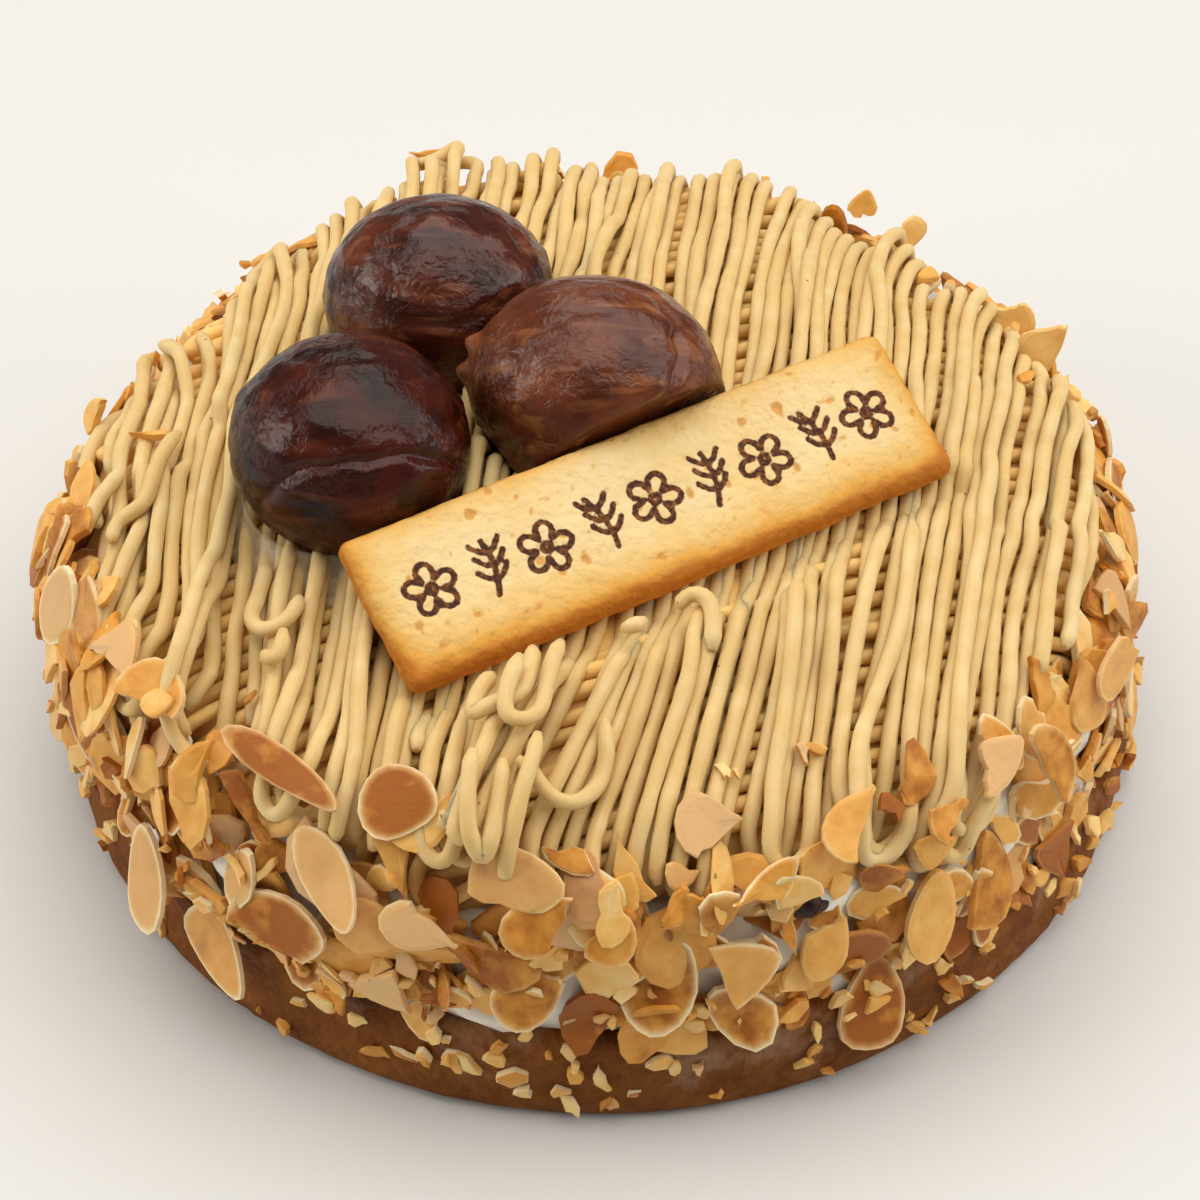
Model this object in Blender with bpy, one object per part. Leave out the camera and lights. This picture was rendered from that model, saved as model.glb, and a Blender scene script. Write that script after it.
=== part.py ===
"""Whole round mont blanc cake, modelled in metres with +Z up.

A tart base carries a layer of cream whose side is covered with browned almond slices. Strands of
chestnut paste lie over the top in hairpins. Three glazed chestnuts and an oblong biscuit rest on
them, and a bit of chestnut shows in the cream at the front. The origin is the middle of the foot.
"""

import math
import random

import bmesh
import bpy
from mathutils import Matrix, Vector, noise

MM = 0.001
GAP = 0.45

BASE_RADIUS = 75.0
BASE_HEIGHT = 16.0
BASE_SIDE = ((73.4, 0.0), (74.6, 0.9), (75.0, 3.0), (74.8, 9.0), (74.4, 14.2), (73.2, 16.0))
CREAM_FOOT = BASE_HEIGHT + 0.3
CREAM_RADIUS = 71.2
ROUND_SEGMENTS = 36
NOODLE_SEGMENTS = 22
BED_RINGS = (0.0, 34.0, 54.0, 67.6)
HEM = ((67.6, 41.7), (69.7, 37.5), (70.9, 33.5))

STRAND_RADIUS = 1.0
STRAND_SIDES = 5
STRAND_TURN = math.radians(-9.5)
HAIRPIN_PITCH = 8.8
RIM_RADIUS = 67.6

CHESTNUTS = {
    "chestnut_left": {"place": (-32.3, -11.8, 60.0), "axes": (15.5, 14.5, 13.2), "seed": 3.1},
    "chestnut_back": {"place": (-21.9, 18.4, 57.8), "axes": (15.3, 13.7, 12.8), "seed": 8.4},
    "chestnut_right": {"place": (-1.0, -1.2, 60.3), "axes": (16.5, 14.5, 13.3), "seed": 5.7},
}

BISCUIT_SIZE = (79.8, 22.7, 4.8)
BISCUIT_TOP = (6.9, -21.0, 58.0)
BISCUIT_TURN = math.radians(29.1)
BISCUIT_LEAN = math.radians(22.0)
BISCUIT_RISE = math.radians(1.0)


def clear_scene():
    for obj in list(bpy.data.objects):
        bpy.data.objects.remove(obj, do_unlink=True)


def linear(channel):
    if channel <= 0.04045:
        return channel / 12.92
    return ((channel + 0.055) / 1.055) ** 2.4


def material(name, hex_colour, roughness):
    """Plain surface of one colour, given as the sRGB hex value seen on the cake."""
    mat = bpy.data.materials.new(name)
    mat.use_nodes = True
    shader = mat.node_tree.nodes["Principled BSDF"]
    channels = [int(hex_colour[i:i + 2], 16) / 255 for i in (1, 3, 5)]
    shader.inputs["Base Color"].default_value = [linear(c) for c in channels] + [1.0]
    shader.inputs["Roughness"].default_value = roughness
    shader.inputs["Metallic"].default_value = 0.0
    return mat


def strand_top(radius):
    """Height of the strands' upper side: nearly flat in the middle, falling towards the rim."""
    return 52.5 - 0.0004 * radius ** 2 - 3.55e-7 * radius ** 4


def noodle_bed(radius):
    """Height of the noodles' solid core, which runs straight between a few rings."""
    for inner, outer in zip(BED_RINGS, BED_RINGS[1:]):
        if radius <= outer:
            share = (radius - inner) / (outer - inner)
            height = strand_top(inner) * (1 - share) + strand_top(outer) * share
            return height - 1.6
    return strand_top(BED_RINGS[-1]) - 1.6


def cream_top(radius):
    return strand_top(radius) - 9.1 + 0.6 * (radius / 66.0) ** 2


def finish(obj, mat, smooth):
    obj.data.materials.clear()
    obj.data.materials.append(mat)
    for face in obj.data.polygons:
        face.use_smooth = smooth
    return obj


def object_of(bm, name):
    """Object made of an edit mesh in millimetres."""
    bmesh.ops.scale(bm, vec=(MM, MM, MM), verts=bm.verts)
    bmesh.ops.recalc_face_normals(bm, faces=bm.faces)
    mesh = bpy.data.meshes.new(name)
    bm.to_mesh(mesh)
    bm.free()
    obj = bpy.data.objects.new(name, mesh)
    bpy.context.scene.collection.objects.link(obj)
    return obj


def turned(name, profile, segments=ROUND_SEGMENTS, relief=None):
    """Round body: a profile of radius and height, from axis to axis, spun about +Z."""
    bm = bmesh.new()
    verts = [bm.verts.new((radius, 0.0, height)) for radius, height in profile]
    edges = [bm.edges.new(pair) for pair in zip(verts, verts[1:])]
    bmesh.ops.spin(
        bm,
        geom=verts + edges,
        cent=(0, 0, 0),
        axis=(0, 0, 1),
        dvec=(0, 0, 0),
        angle=math.tau,
        steps=segments,
        use_merge=True,
        use_duplicate=False,
    )
    bmesh.ops.remove_doubles(bm, verts=bm.verts, dist=1e-4)
    if relief:
        for vert in bm.verts:
            vert.co += relief(vert.co)
    return object_of(bm, name)


def almond_slice(place, facing, turn, length, width, thick=1.25, chip=1.0, bend=0.0):
    """Edit mesh of one slice: an oval with a blunter end, a chipped tip and a slight bend."""
    bm = bmesh.new()
    bmesh.ops.create_cone(
        bm,
        cap_ends=True,
        cap_tris=False,
        segments=8 if length > 5.5 else 6,
        radius1=1.0,
        radius2=1.0,
        depth=thick,
    )
    for vert in bm.verts:
        along = min(vert.co.x, chip)
        vert.co.y *= width * (1.0 - 0.16 * along)
        vert.co.x = length * along
        vert.co.z += bend * along * along
    normal = Vector(facing).normalized()
    side = Vector((0, 0, 1)).cross(normal)
    if side.length < 0.05:
        side = Vector((1, 0, 0))
    side.normalize()
    upward = normal.cross(side)
    frame = Matrix((side, upward, normal)).transposed() @ Matrix.Rotation(turn, 3, "Z")
    bmesh.ops.transform(bm, matrix=Matrix.Translation(place) @ frame.to_4x4(), verts=bm.verts)
    return bm


def around(angle, radius, height):
    return Vector((radius * math.cos(angle), radius * math.sin(angle), height))


def leaning(angle, sideways, upwards):
    """Direction that faces out of the side at this angle, turned sideways and upwards."""
    return Vector(
        (
            math.cos(angle + sideways) * math.cos(upwards),
            math.sin(angle + sideways) * math.cos(upwards),
            math.sin(upwards),
        )
    )


def clear_of(bm, allowed):
    """True if the slice's corners and the middles of its edges all lie where they may."""
    points = [vert.co for vert in bm.verts]
    points += [(edge.verts[0].co + edge.verts[1].co) / 2 for edge in bm.edges]
    return all(allowed(math.hypot(p.x, p.y), p.z) for p in points)


def slices_from(settings, allowed, rng, middle=None, sunk_to=None):
    """Slices at the given places, each moved, turned and shrunk a little until it is clear.

    Where sunk_to is given, each is set with its innermost corner at that radius.
    """
    made = []
    for angle, radius, height, length, width, sideways, upwards, turn, chip in settings:
        for attempt in range(14):
            swing = 0.09 * attempt
            towards_middle = 0.07 * attempt * (middle - height) if middle else 0.0
            bm = almond_slice(
                around(angle, radius, height + towards_middle),
                leaning(angle, sideways + rng.uniform(-swing, swing), upwards * (1 - swing)),
                turn + rng.uniform(-swing, swing),
                length * (1 - 0.05 * attempt),
                width * (1 - 0.03 * attempt),
                chip=chip,
                bend=rng.uniform(-0.5, 0.9),
            )
            if sunk_to:
                inmost = min(math.hypot(vert.co.x, vert.co.y) for vert in bm.verts)
                shift = around(angle, sunk_to - inmost, 0.0)
                bmesh.ops.translate(bm, vec=shift, verts=bm.verts)
            if clear_of(bm, allowed):
                made.append(object_of(bm, f"slice_{len(made)}"))
                break
            bm.free()
    return made


def joined(core, pieces):
    """Core and pieces as one solid, by one union over a collection of the pieces."""
    group = bpy.data.collections.new(core.name + "_pieces")
    bpy.context.scene.collection.children.link(group)
    for piece in pieces:
        bpy.context.scene.collection.objects.unlink(piece)
        group.objects.link(piece)
    apply_boolean(core, "UNION", collection=group)
    for piece in pieces:
        bpy.data.objects.remove(piece, do_unlink=True)
    bpy.data.collections.remove(group)
    return core


def apply_boolean(target, operation, operand=None, collection=None):
    """Boolean applied at once.

    Its solver is the manifold one: the strands and slices cross the core at shallow angles, and the
    exact solver leaves open edges there.
    """
    modifier = target.modifiers.new(operation.lower(), "BOOLEAN")
    modifier.operation = operation
    modifier.solver = "MANIFOLD"
    if collection:
        modifier.operand_type = "COLLECTION"
        modifier.collection = collection
    else:
        modifier.object = operand
    bpy.context.view_layer.objects.active = target
    bpy.ops.object.modifier_apply(modifier=modifier.name)


def hollowed(target, others, gap=GAP):
    """Pockets in the target, a little larger than each of the pieces that sink into it."""
    for other in others:
        cutter = other.copy()
        cutter.data = other.data.copy()
        cutter.hide_render = True
        cutter.display_type = "WIRE"
        bpy.context.scene.collection.objects.link(cutter)
        bm = bmesh.new()
        bm.from_mesh(cutter.data)
        bm.normal_update()
        for vert in bm.verts:
            vert.co += vert.normal * gap * MM
        bm.to_mesh(cutter.data)
        bm.free()
        apply_boolean(target, "DIFFERENCE", operand=cutter)
        bpy.data.objects.remove(cutter, do_unlink=True)


def keep_largest(obj):
    """Loose scraps that a cut leaves are dropped: only the largest connected body stays."""
    bm = bmesh.new()
    bm.from_mesh(obj.data)
    waiting = set(bm.faces)
    bodies = []
    while waiting:
        front = [waiting.pop()]
        body = set(front)
        while front:
            face = front.pop()
            for edge in face.edges:
                if len(edge.link_faces) != 2:
                    continue
                for other in edge.link_faces:
                    if other in waiting:
                        waiting.remove(other)
                        body.add(other)
                        front.append(other)
        bodies.append(body)
    bodies.sort(key=len, reverse=True)
    for body in bodies[1:]:
        bmesh.ops.delete(bm, geom=list(body), context="FACES")
    bm.to_mesh(obj.data)
    bm.free()


def crust_relief(point):
    """Slight unevenness of the baked side; the foot keeps its flat bottom."""
    if point.z < 0.01 or math.hypot(point.x, point.y) < 1.0:
        return Vector((0, 0, 0))
    out = Vector((point.x, point.y, 0)).normalized()
    return out * 0.35 * noise.noise(point * 0.09)


def base_side(height):
    """Radius of the base's side at this height, with its relief and a thin gap added."""
    for lower, upper in zip(BASE_SIDE, BASE_SIDE[1:]):
        if height <= upper[1]:
            share = max(0.0, height - lower[1]) / (upper[1] - lower[1])
            return lower[0] + (upper[0] - lower[0]) * share + 0.65
    return 0.0


def build_tart_base():
    profile = [(0.0, 0.0), *BASE_SIDE, (0.0, BASE_HEIGHT)]
    base = turned("tart_base", profile, relief=crust_relief)
    rng = random.Random(41)
    settings = []
    for i in range(11):
        angle = math.tau * (i + 0.2 + rng.uniform(-0.3, 0.3)) / 11
        size = rng.uniform(2.2, 4.2)
        height = rng.uniform(3.6, 9.5)
        settings.append(
            (angle, BASE_RADIUS + 0.4, height, size, size * 0.65, rng.uniform(-0.3, 0.3),
             rng.uniform(-0.1, 0.5), rng.uniform(-0.6, 0.6), rng.uniform(0.3, 1.0))
        )

    def allowed(radius, height):
        return 0.4 < height < 13.6 and radius < 77.0

    joined(base, slices_from(settings, allowed, rng, sunk_to=BASE_RADIUS - 0.9))
    keep_largest(base)
    return base


def cream_slices():
    """Places of the slices on the cream: the ones that stand out first, then rows of smaller."""
    rng = random.Random(7)
    standing = [
        (-63, 75.6, 15.7, 7.0, 4.8, 0.05, 0.68, 1.50, 1.0),
        (-176, 74.4, 31.2, 5.2, 3.4, 0.95, 0.10, 0.15, 1.0),
        (-84, 73.4, 25.0, 7.0, 4.2, 0.45, 0.30, 1.30, 1.0),
        (-49, 74.0, 24.0, 6.8, 4.6, -0.30, 0.20, 1.20, 1.0),
        (-58, 73.6, 27.5, 6.6, 3.8, 0.35, 0.10, 1.75, 1.0),
        (-78, 73.8, 26.6, 6.4, 4.2, -0.20, 0.38, 0.20, 0.5),
        (-122, 73.6, 25.0, 7.6, 5.6, 0.20, 0.30, 0.50, 0.7),
        (-139, 73.4, 24.0, 7.6, 3.6, -0.25, 0.15, 2.10, 1.0),
        (-131, 74.0, 19.8, 7.2, 3.6, 0.30, 0.35, -0.45, 1.0),
        (-108, 73.0, 28.8, 6.6, 4.0, 0.10, 0.45, 0.15, 1.0),
        (-168, 74.6, 29.4, 6.4, 3.8, 0.35, 0.20, 0.60, 1.0),
        (171, 74.8, 30.4, 6.6, 3.6, -0.50, 0.10, 0.30, 0.8),
        (-20, 74.8, 28.0, 6.6, 3.8, -0.35, 0.35, 2.60, 1.0),
        (2, 74.8, 27.6, 6.4, 3.8, 0.40, 0.15, 0.90, 0.9),
        (88, 74.8, 26.0, 6.4, 4.0, -0.40, 0.20, 0.70, 1.0),
        (120, 74.4, 28.0, 6.0, 4.0, 0.35, 0.30, 1.90, 0.8),
        (45, 74.6, 24.0, 6.6, 4.0, 0.30, 0.25, 0.40, 1.0),
    ]
    settings = [(math.radians(row[0]),) + row[1:] for row in standing]
    for row, height in enumerate((20.0, 23.0, 26.2, 29.4, 32.8)):
        for i in range(11):
            angle = math.tau * (i + 0.5 * (row % 2) + rng.uniform(-0.3, 0.3)) / 11
            length = rng.uniform(3.8, 6.8)
            level = 1.4 if row in (1, 2, 3) else 0.4
            settings.append(
                (angle, CREAM_RADIUS, height + rng.uniform(-0.8, 0.8),
                 length, length * rng.uniform(0.55, 0.78), rng.uniform(-0.4, 0.4),
                 rng.uniform(-0.05, 0.45), rng.uniform(-level, level),
                 rng.choice((1.0, 1.0, 0.5, 0.1)))
            )
    return settings, rng


def build_cream():
    inner = [0.0, 26.0, 42.0, 54.0, 62.0, 66.0]
    profile = [
        (0.0, CREAM_FOOT),
        (CREAM_RADIUS - 0.6, CREAM_FOOT),
        (CREAM_RADIUS, 20.0),
        (CREAM_RADIUS + 0.3, 26.0),
        (CREAM_RADIUS, 31.0),
        (CREAM_RADIUS - 0.4, 32.8),
    ]
    profile += [(radius, cream_top(radius)) for radius in reversed(inner)]
    cream = turned("cream", profile)
    settings, rng = cream_slices()

    def allowed(radius, height):
        over_base = height > 16.6 or radius > base_side(height)
        under_noodles = height < 32.6 or (radius > 72.7 and height < 37.4)
        return over_base and under_noodles and height > 7.5

    slices = slices_from(settings, allowed, rng, middle=24.7, sunk_to=CREAM_RADIUS - 0.8)
    return joined(cream, slices)


def strand(name, path, profile):
    """One strand of paste: a poly curve with closed ends, as a mesh."""
    data = bpy.data.curves.new(name, "CURVE")
    data.dimensions = "3D"
    data.bevel_mode = "OBJECT"
    data.bevel_object = profile
    data.use_fill_caps = True
    data.twist_mode = "MINIMUM"
    spline = data.splines.new("POLY")
    spline.points.add(len(path) - 1)
    for point, place in zip(spline.points, path):
        point.co = (place[0] * MM, place[1] * MM, place[2] * MM, 1.0)
    curve = bpy.data.objects.new(name + "_curve", data)
    bpy.context.scene.collection.objects.link(curve)
    bpy.context.view_layer.update()
    graph = bpy.context.evaluated_depsgraph_get()
    mesh = bpy.data.meshes.new_from_object(curve.evaluated_get(graph))
    bpy.data.objects.remove(curve, do_unlink=True)
    bm = bmesh.new()
    bm.from_mesh(mesh)
    bmesh.ops.remove_doubles(bm, verts=bm.verts, dist=1e-5)
    bmesh.ops.recalc_face_normals(bm, faces=bm.faces)
    bm.to_mesh(mesh)
    bm.free()
    obj = bpy.data.objects.new(name, mesh)
    bpy.context.scene.collection.objects.link(obj)
    return obj


def strand_profile():
    """Section of a strand: a small polygon, used as the curves' bevel."""
    data = bpy.data.curves.new("strand_section", "CURVE")
    data.dimensions = "2D"
    spline = data.splines.new("POLY")
    spline.points.add(STRAND_SIDES - 1)
    for i, point in enumerate(spline.points):
        angle = math.tau * i / STRAND_SIDES
        point.co = (STRAND_RADIUS * MM * math.cos(angle), STRAND_RADIUS * MM * math.sin(angle), 0, 1)
    spline.use_cyclic_u = True
    section = bpy.data.objects.new("strand_section", data)
    section.hide_render = True
    section.display_type = "WIRE"
    bpy.context.scene.collection.objects.link(section)
    return section


def down_the_hem(distance):
    """Radius and height at this distance from the rim, down the side of the noodles."""
    for inner, outer in zip(HEM, HEM[1:]):
        length = math.dist(inner, outer)
        if distance <= length or outer == HEM[-1]:
            share = min(distance / length, 0.75)
            return [a + (b - a) * share for a, b in zip(inner, outer)]
        distance -= length


def lie(x, y, lift=0.0):
    """Point of a strand that lies at this place, hanging down the hem where it goes beyond the rim."""
    radius = math.hypot(x, y)
    if radius <= RIM_RADIUS:
        return (x, y, noodle_bed(radius) + 0.6 * STRAND_RADIUS + lift)
    kept, height = down_the_hem(1.6 * (radius - RIM_RADIUS))
    kept += 0.5 * STRAND_RADIUS
    return (x * kept / radius, y * kept / radius, height + 0.3 * STRAND_RADIUS)


def hairpin(offset, width, flip, rng):
    """Path of one strand: up to one rim, round a loop, and back beside itself."""
    forward = Vector((math.sin(-STRAND_TURN), math.cos(STRAND_TURN)))
    across = Vector((forward.y, -forward.x))
    sway = [rng.uniform(-0.45, 0.45) for _ in range(4)]
    legs = []
    for side in (-1, 1):
        start = offset + side * width / 2
        reach = math.sqrt(max(RIM_RADIUS ** 2 - start ** 2, 15.0 ** 2))
        legs.append((start, reach))
    turn_reach = min(legs[0][1], legs[1][1]) - 1.5 + rng.uniform(-1.5, 1.5)
    points = []
    steps = 5
    for leg, (start, reach) in enumerate(legs):
        open_end = reach + rng.uniform(1.0, 4.0)
        for i in range(steps + 1):
            share = i / steps if leg == 1 else 1 - i / steps
            along = turn_reach - share * (turn_reach + open_end)
            wave = sway[leg] * math.sin(3.0 * share + leg) + sway[2 + leg] * math.sin(7.5 * share)
            points.append((start + wave, along))
        if leg == 0:
            bulge = width / 2 + 0.7
            for angle in (145, 90, 35):
                a = math.radians(angle)
                points.append((offset + bulge * math.cos(a), turn_reach + 1.2 * bulge * math.sin(a)))
    path = []
    for start, along in points:
        flat = across * start + forward * (-along if flip else along)
        path.append(lie(flat.x, flat.y))
    return path


def drape(angle, rng):
    """Path of a short loop that hangs over the rim at the side."""
    half = rng.uniform(2.6, 3.6) / RIM_RADIUS
    inner = rng.uniform(65.0, 66.5)
    outer = RIM_RADIUS + rng.uniform(1.6, 3.4)
    places = [(-half, inner), (-half * 1.1, 68.8), (-half, outer - 1.0), (-half * 0.35, outer)]
    places += [(half * 0.35, outer), (half, outer - 1.0), (half * 1.1, 68.8), (half, inner)]
    return [lie(r * math.cos(angle + a), r * math.sin(angle + a), 0.5) for a, r in places]


def rim_slices():
    """Slices that lie on the strands at the rim, or stand up behind it."""
    rows = [
        (-128, 65.2, 42.6, 9.2, 2.9, 0.45, 1.15, 0.10, 1.0),
        (-111, 65.8, 42.2, 4.9, 4.6, 0.10, 0.95, 0.30, 1.0),
        (-78, 65.6, 42.4, 4.6, 4.0, 0.20, 0.85, 0.60, 0.4),
        (-142, 68.0, 41.4, 5.4, 4.6, -0.20, 0.85, 0.50, 0.8),
        (-161, 70.0, 39.6, 5.8, 3.6, 0.25, 0.35, 1.30, 1.0),
        (-97, 68.2, 40.0, 5.6, 4.2, 0.10, 0.60, 0.20, 0.6),
        (-87, 69.6, 39.0, 5.2, 3.4, -0.30, 0.55, 0.80, 0.3),
        (-65, 67.6, 41.0, 5.4, 3.4, 0.30, 0.60, 0.70, 0.8),
        (-44, 69.8, 39.4, 5.6, 3.8, -0.20, 0.50, 1.60, 0.9),
        (-27, 70.0, 39.6, 5.4, 3.8, 0.20, 0.45, 0.90, 0.9),
        (24, 69.9, 43.0, 7.0, 3.0, -0.80, 0.05, 1.35, 1.0),
        (32, 69.6, 41.4, 3.6, 3.0, 0.50, 0.20, 0.90, 0.5),
        (51, 69.6, 42.4, 4.6, 3.0, 0.60, 0.10, 1.40, 0.7),
        (57, 69.4, 41.4, 5.2, 3.0, -0.70, 0.15, 0.40, 0.6),
        (109, 69.9, 42.4, 4.8, 3.2, 0.60, 0.10, 0.20, 0.4),
        (142, 69.7, 41.2, 3.6, 3.0, 0.20, 0.20, 1.10, 0.6),
        (168, 70.0, 40.6, 5.0, 3.6, 0.50, 0.15, 1.40, 0.7),
    ]
    return [(math.radians(row[0]),) + row[1:] for row in rows]


def build_noodles(sunk):
    inner = [0.0, 26.0, 42.0, 54.0, 62.0, 66.0]
    profile = [(radius, cream_top(radius) + 0.4) for radius in inner]
    profile += reversed(HEM[1:])
    profile += [(radius, noodle_bed(radius)) for radius in reversed(BED_RINGS)]
    noodles = turned("chestnut_noodles", profile, NOODLE_SEGMENTS)
    rng = random.Random(59)
    section = strand_profile()
    strands = []
    for i in range(15):
        offset = (i - 7) * HAIRPIN_PITCH
        path = hairpin(offset, HAIRPIN_PITCH / 2 + rng.uniform(-0.3, 0.3), i % 3 != 1, rng)
        strands.append(strand(f"strand_{i}", path, section))
    for i in range(4):
        side = 0.0 if i % 2 else math.pi
        angle = side + STRAND_TURN + math.radians(-16 + 32.0 * (i // 2) + rng.uniform(-3, 3))
        strands.append(strand(f"drape_{i}", drape(angle, rng), section))
    bpy.data.objects.remove(section, do_unlink=True)

    def allowed(radius, height):
        return height > 38.0 or (height > 34.0 and radius < 72.3)

    strands += slices_from(rim_slices(), allowed, rng)
    joined(noodles, strands)
    hollowed(noodles, sunk)
    keep_largest(noodles)
    return noodles


def build_chestnut(place, axes, seed):
    """Whole peeled chestnut: an uneven oval, drawn in a little towards one end."""
    bm = bmesh.new()
    bmesh.ops.create_uvsphere(bm, u_segments=20, v_segments=10, radius=1.0)
    for vert in bm.verts:
        point = vert.co.normalized()
        lump = 1.0 + 0.030 * noise.noise(point * 1.7 + Vector((seed, 0, 0)))
        taper = 1.0 - 0.05 * max(0.0, -point.x) ** 2
        vert.co = Vector((point.x * axes[0], point.y * axes[1] * taper, point.z * axes[2])) * lump
        vert.co += Vector(place)
    return bm


def flatten(bm, point, normal, keep=0.06):
    """Flat side: what lies beyond the plane is pressed back onto it, all but a trace."""
    for vert in bm.verts:
        beyond = (vert.co - point).dot(normal)
        if beyond > 0:
            vert.co -= normal * beyond * (1.0 - keep)


def press_against(bm, place, other):
    """Flat spot where one chestnut is pressed against another, with a thin gap left between."""
    towards = (Vector(other["place"]) - Vector(place)).normalized()
    reach = Vector([towards[i] * other["axes"][i] for i in range(3)]).length
    flatten(bm, Vector(other["place"]) - towards * (reach * 1.02 + GAP), towards)


def biscuit_axes():
    """Length, width and upward directions of the biscuit, which leans on the chestnuts."""
    along = Vector((math.cos(BISCUIT_TURN), math.sin(BISCUIT_TURN), 0))
    beside = Vector((-along.y, along.x, 0))
    up = Vector((0, 0, 1))
    along = along * math.cos(BISCUIT_RISE) + up * math.sin(BISCUIT_RISE)
    beside = beside * math.cos(BISCUIT_LEAN) + up * math.sin(BISCUIT_LEAN)
    beside = (beside - along * beside.dot(along)).normalized()
    return along, beside, along.cross(beside)


def build_biscuit():
    along, beside, normal = biscuit_axes()
    bm = bmesh.new()
    bmesh.ops.create_cube(bm, size=1.0)
    bmesh.ops.scale(bm, vec=BISCUIT_SIZE, verts=bm.verts)
    bmesh.ops.bevel(
        bm, geom=bm.edges[:], offset=1.9, offset_type="OFFSET", segments=3, profile=0.5,
        affect="EDGES", clamp_overlap=True,
    )
    frame = Matrix((along, beside, normal)).transposed().to_4x4()
    middle = Vector(BISCUIT_TOP) - normal * BISCUIT_SIZE[2] / 2
    bmesh.ops.transform(bm, matrix=Matrix.Translation(middle) @ frame, verts=bm.verts)
    return object_of(bm, "biscuit_plaque")


def build_chip():
    """Bit of dark chestnut that shows in the cream under the strands at the front."""
    bm = bmesh.new()
    bmesh.ops.create_uvsphere(bm, u_segments=8, v_segments=6, radius=1.0)
    bmesh.ops.scale(bm, vec=(3.6, 2.6, 2.4), verts=bm.verts)
    bmesh.ops.transform(
        bm,
        matrix=Matrix.Translation(around(math.radians(-69.5), 70.9, 34.6))
        @ Matrix.Rotation(math.radians(20), 4, "Z"),
        verts=bm.verts,
    )
    return object_of(bm, "chestnut_chip")


def build_cake():
    pastry = material("baked_pastry", "#6f4728", 0.75)
    whipped = material("white_cream", "#e9dcc0", 0.55)
    paste = material("chestnut_paste", "#dfb978", 0.6)
    glaze = material("glazed_chestnut", "#3d1a10", 0.18)
    baked = material("pale_biscuit", "#f3cd86", 0.7)

    biscuit = finish(build_biscuit(), baked, True)
    _, beside, normal = biscuit_axes()
    far_edge = Vector(BISCUIT_TOP) + beside * (BISCUIT_SIZE[1] / 2 - 0.1)
    flat = (beside * -0.934 - normal * 0.357).normalized()
    chestnuts = []
    for name, shape in CHESTNUTS.items():
        bm = build_chestnut(**shape)
        if name == "chestnut_right":
            flatten(bm, far_edge, flat)
        if name == "chestnut_back":
            for other in ("chestnut_left", "chestnut_right"):
                press_against(bm, shape["place"], CHESTNUTS[other])
        chestnuts.append(finish(object_of(bm, name), glaze, True))
    chip = finish(build_chip(), glaze, True)

    finish(build_tart_base(), pastry, False)
    cream = finish(build_cream(), whipped, False)
    hollowed(cream, [chip])
    keep_largest(cream)
    noodles = build_noodles(chestnuts + [biscuit, chip])
    finish(noodles, paste, False)


clear_scene()
build_cake()
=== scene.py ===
# %% [markdown]
# # A whole mont blanc cake
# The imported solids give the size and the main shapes. This lesson keeps them as the frame and lays
# the real things over them: strands of chestnut paste, almond slices, glazed chestnuts, a biscuit.
# Lengths in the lesson are millimetres, which are easier to read on a cake; meshes are in metres.

import math

import bpy
import numpy as np
from mathutils import Matrix, Vector, noise


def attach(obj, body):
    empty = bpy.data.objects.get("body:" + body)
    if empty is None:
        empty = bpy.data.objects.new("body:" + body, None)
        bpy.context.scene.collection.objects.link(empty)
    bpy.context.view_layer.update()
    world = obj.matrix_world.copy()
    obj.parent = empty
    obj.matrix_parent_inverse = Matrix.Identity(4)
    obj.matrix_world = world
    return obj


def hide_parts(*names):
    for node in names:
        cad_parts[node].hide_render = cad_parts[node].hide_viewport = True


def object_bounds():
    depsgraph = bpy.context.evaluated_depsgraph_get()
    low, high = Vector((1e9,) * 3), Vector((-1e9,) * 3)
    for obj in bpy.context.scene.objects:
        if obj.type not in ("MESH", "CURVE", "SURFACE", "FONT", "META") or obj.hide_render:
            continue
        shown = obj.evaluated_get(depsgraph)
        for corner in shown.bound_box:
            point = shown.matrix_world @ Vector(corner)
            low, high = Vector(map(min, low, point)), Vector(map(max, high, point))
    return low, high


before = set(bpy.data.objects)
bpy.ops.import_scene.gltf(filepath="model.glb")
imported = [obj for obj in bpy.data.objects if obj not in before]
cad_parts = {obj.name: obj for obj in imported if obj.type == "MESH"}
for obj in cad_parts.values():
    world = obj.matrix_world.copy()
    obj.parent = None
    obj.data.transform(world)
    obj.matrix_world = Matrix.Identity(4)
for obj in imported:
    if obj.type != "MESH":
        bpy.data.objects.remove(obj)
cad_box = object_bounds()
MM = 0.001
print("solids:", sorted(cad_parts))
print("box in mm:", [round(v / MM, 1) for corner in cad_box for v in corner])

# %% [markdown]
# Colours are picked from the real thing as sRGB hex values, while shaders work in linear light,
# so one function turns one into the other. A second one adds a shader node with its settings and
# links, and a third one turns a pattern into bumps, so that each recipe is short enough to read.

# %% Helpers for colours, shader nodes and meshes


def colour(hex_value):
    channels = [int(hex_value[i : i + 2], 16) / 255 for i in (1, 3, 5)]
    linear = [c / 12.92 if c <= 0.04045 else ((c + 0.055) / 1.055) ** 2.4 for c in channels]
    return (*linear, 1.0)


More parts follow.
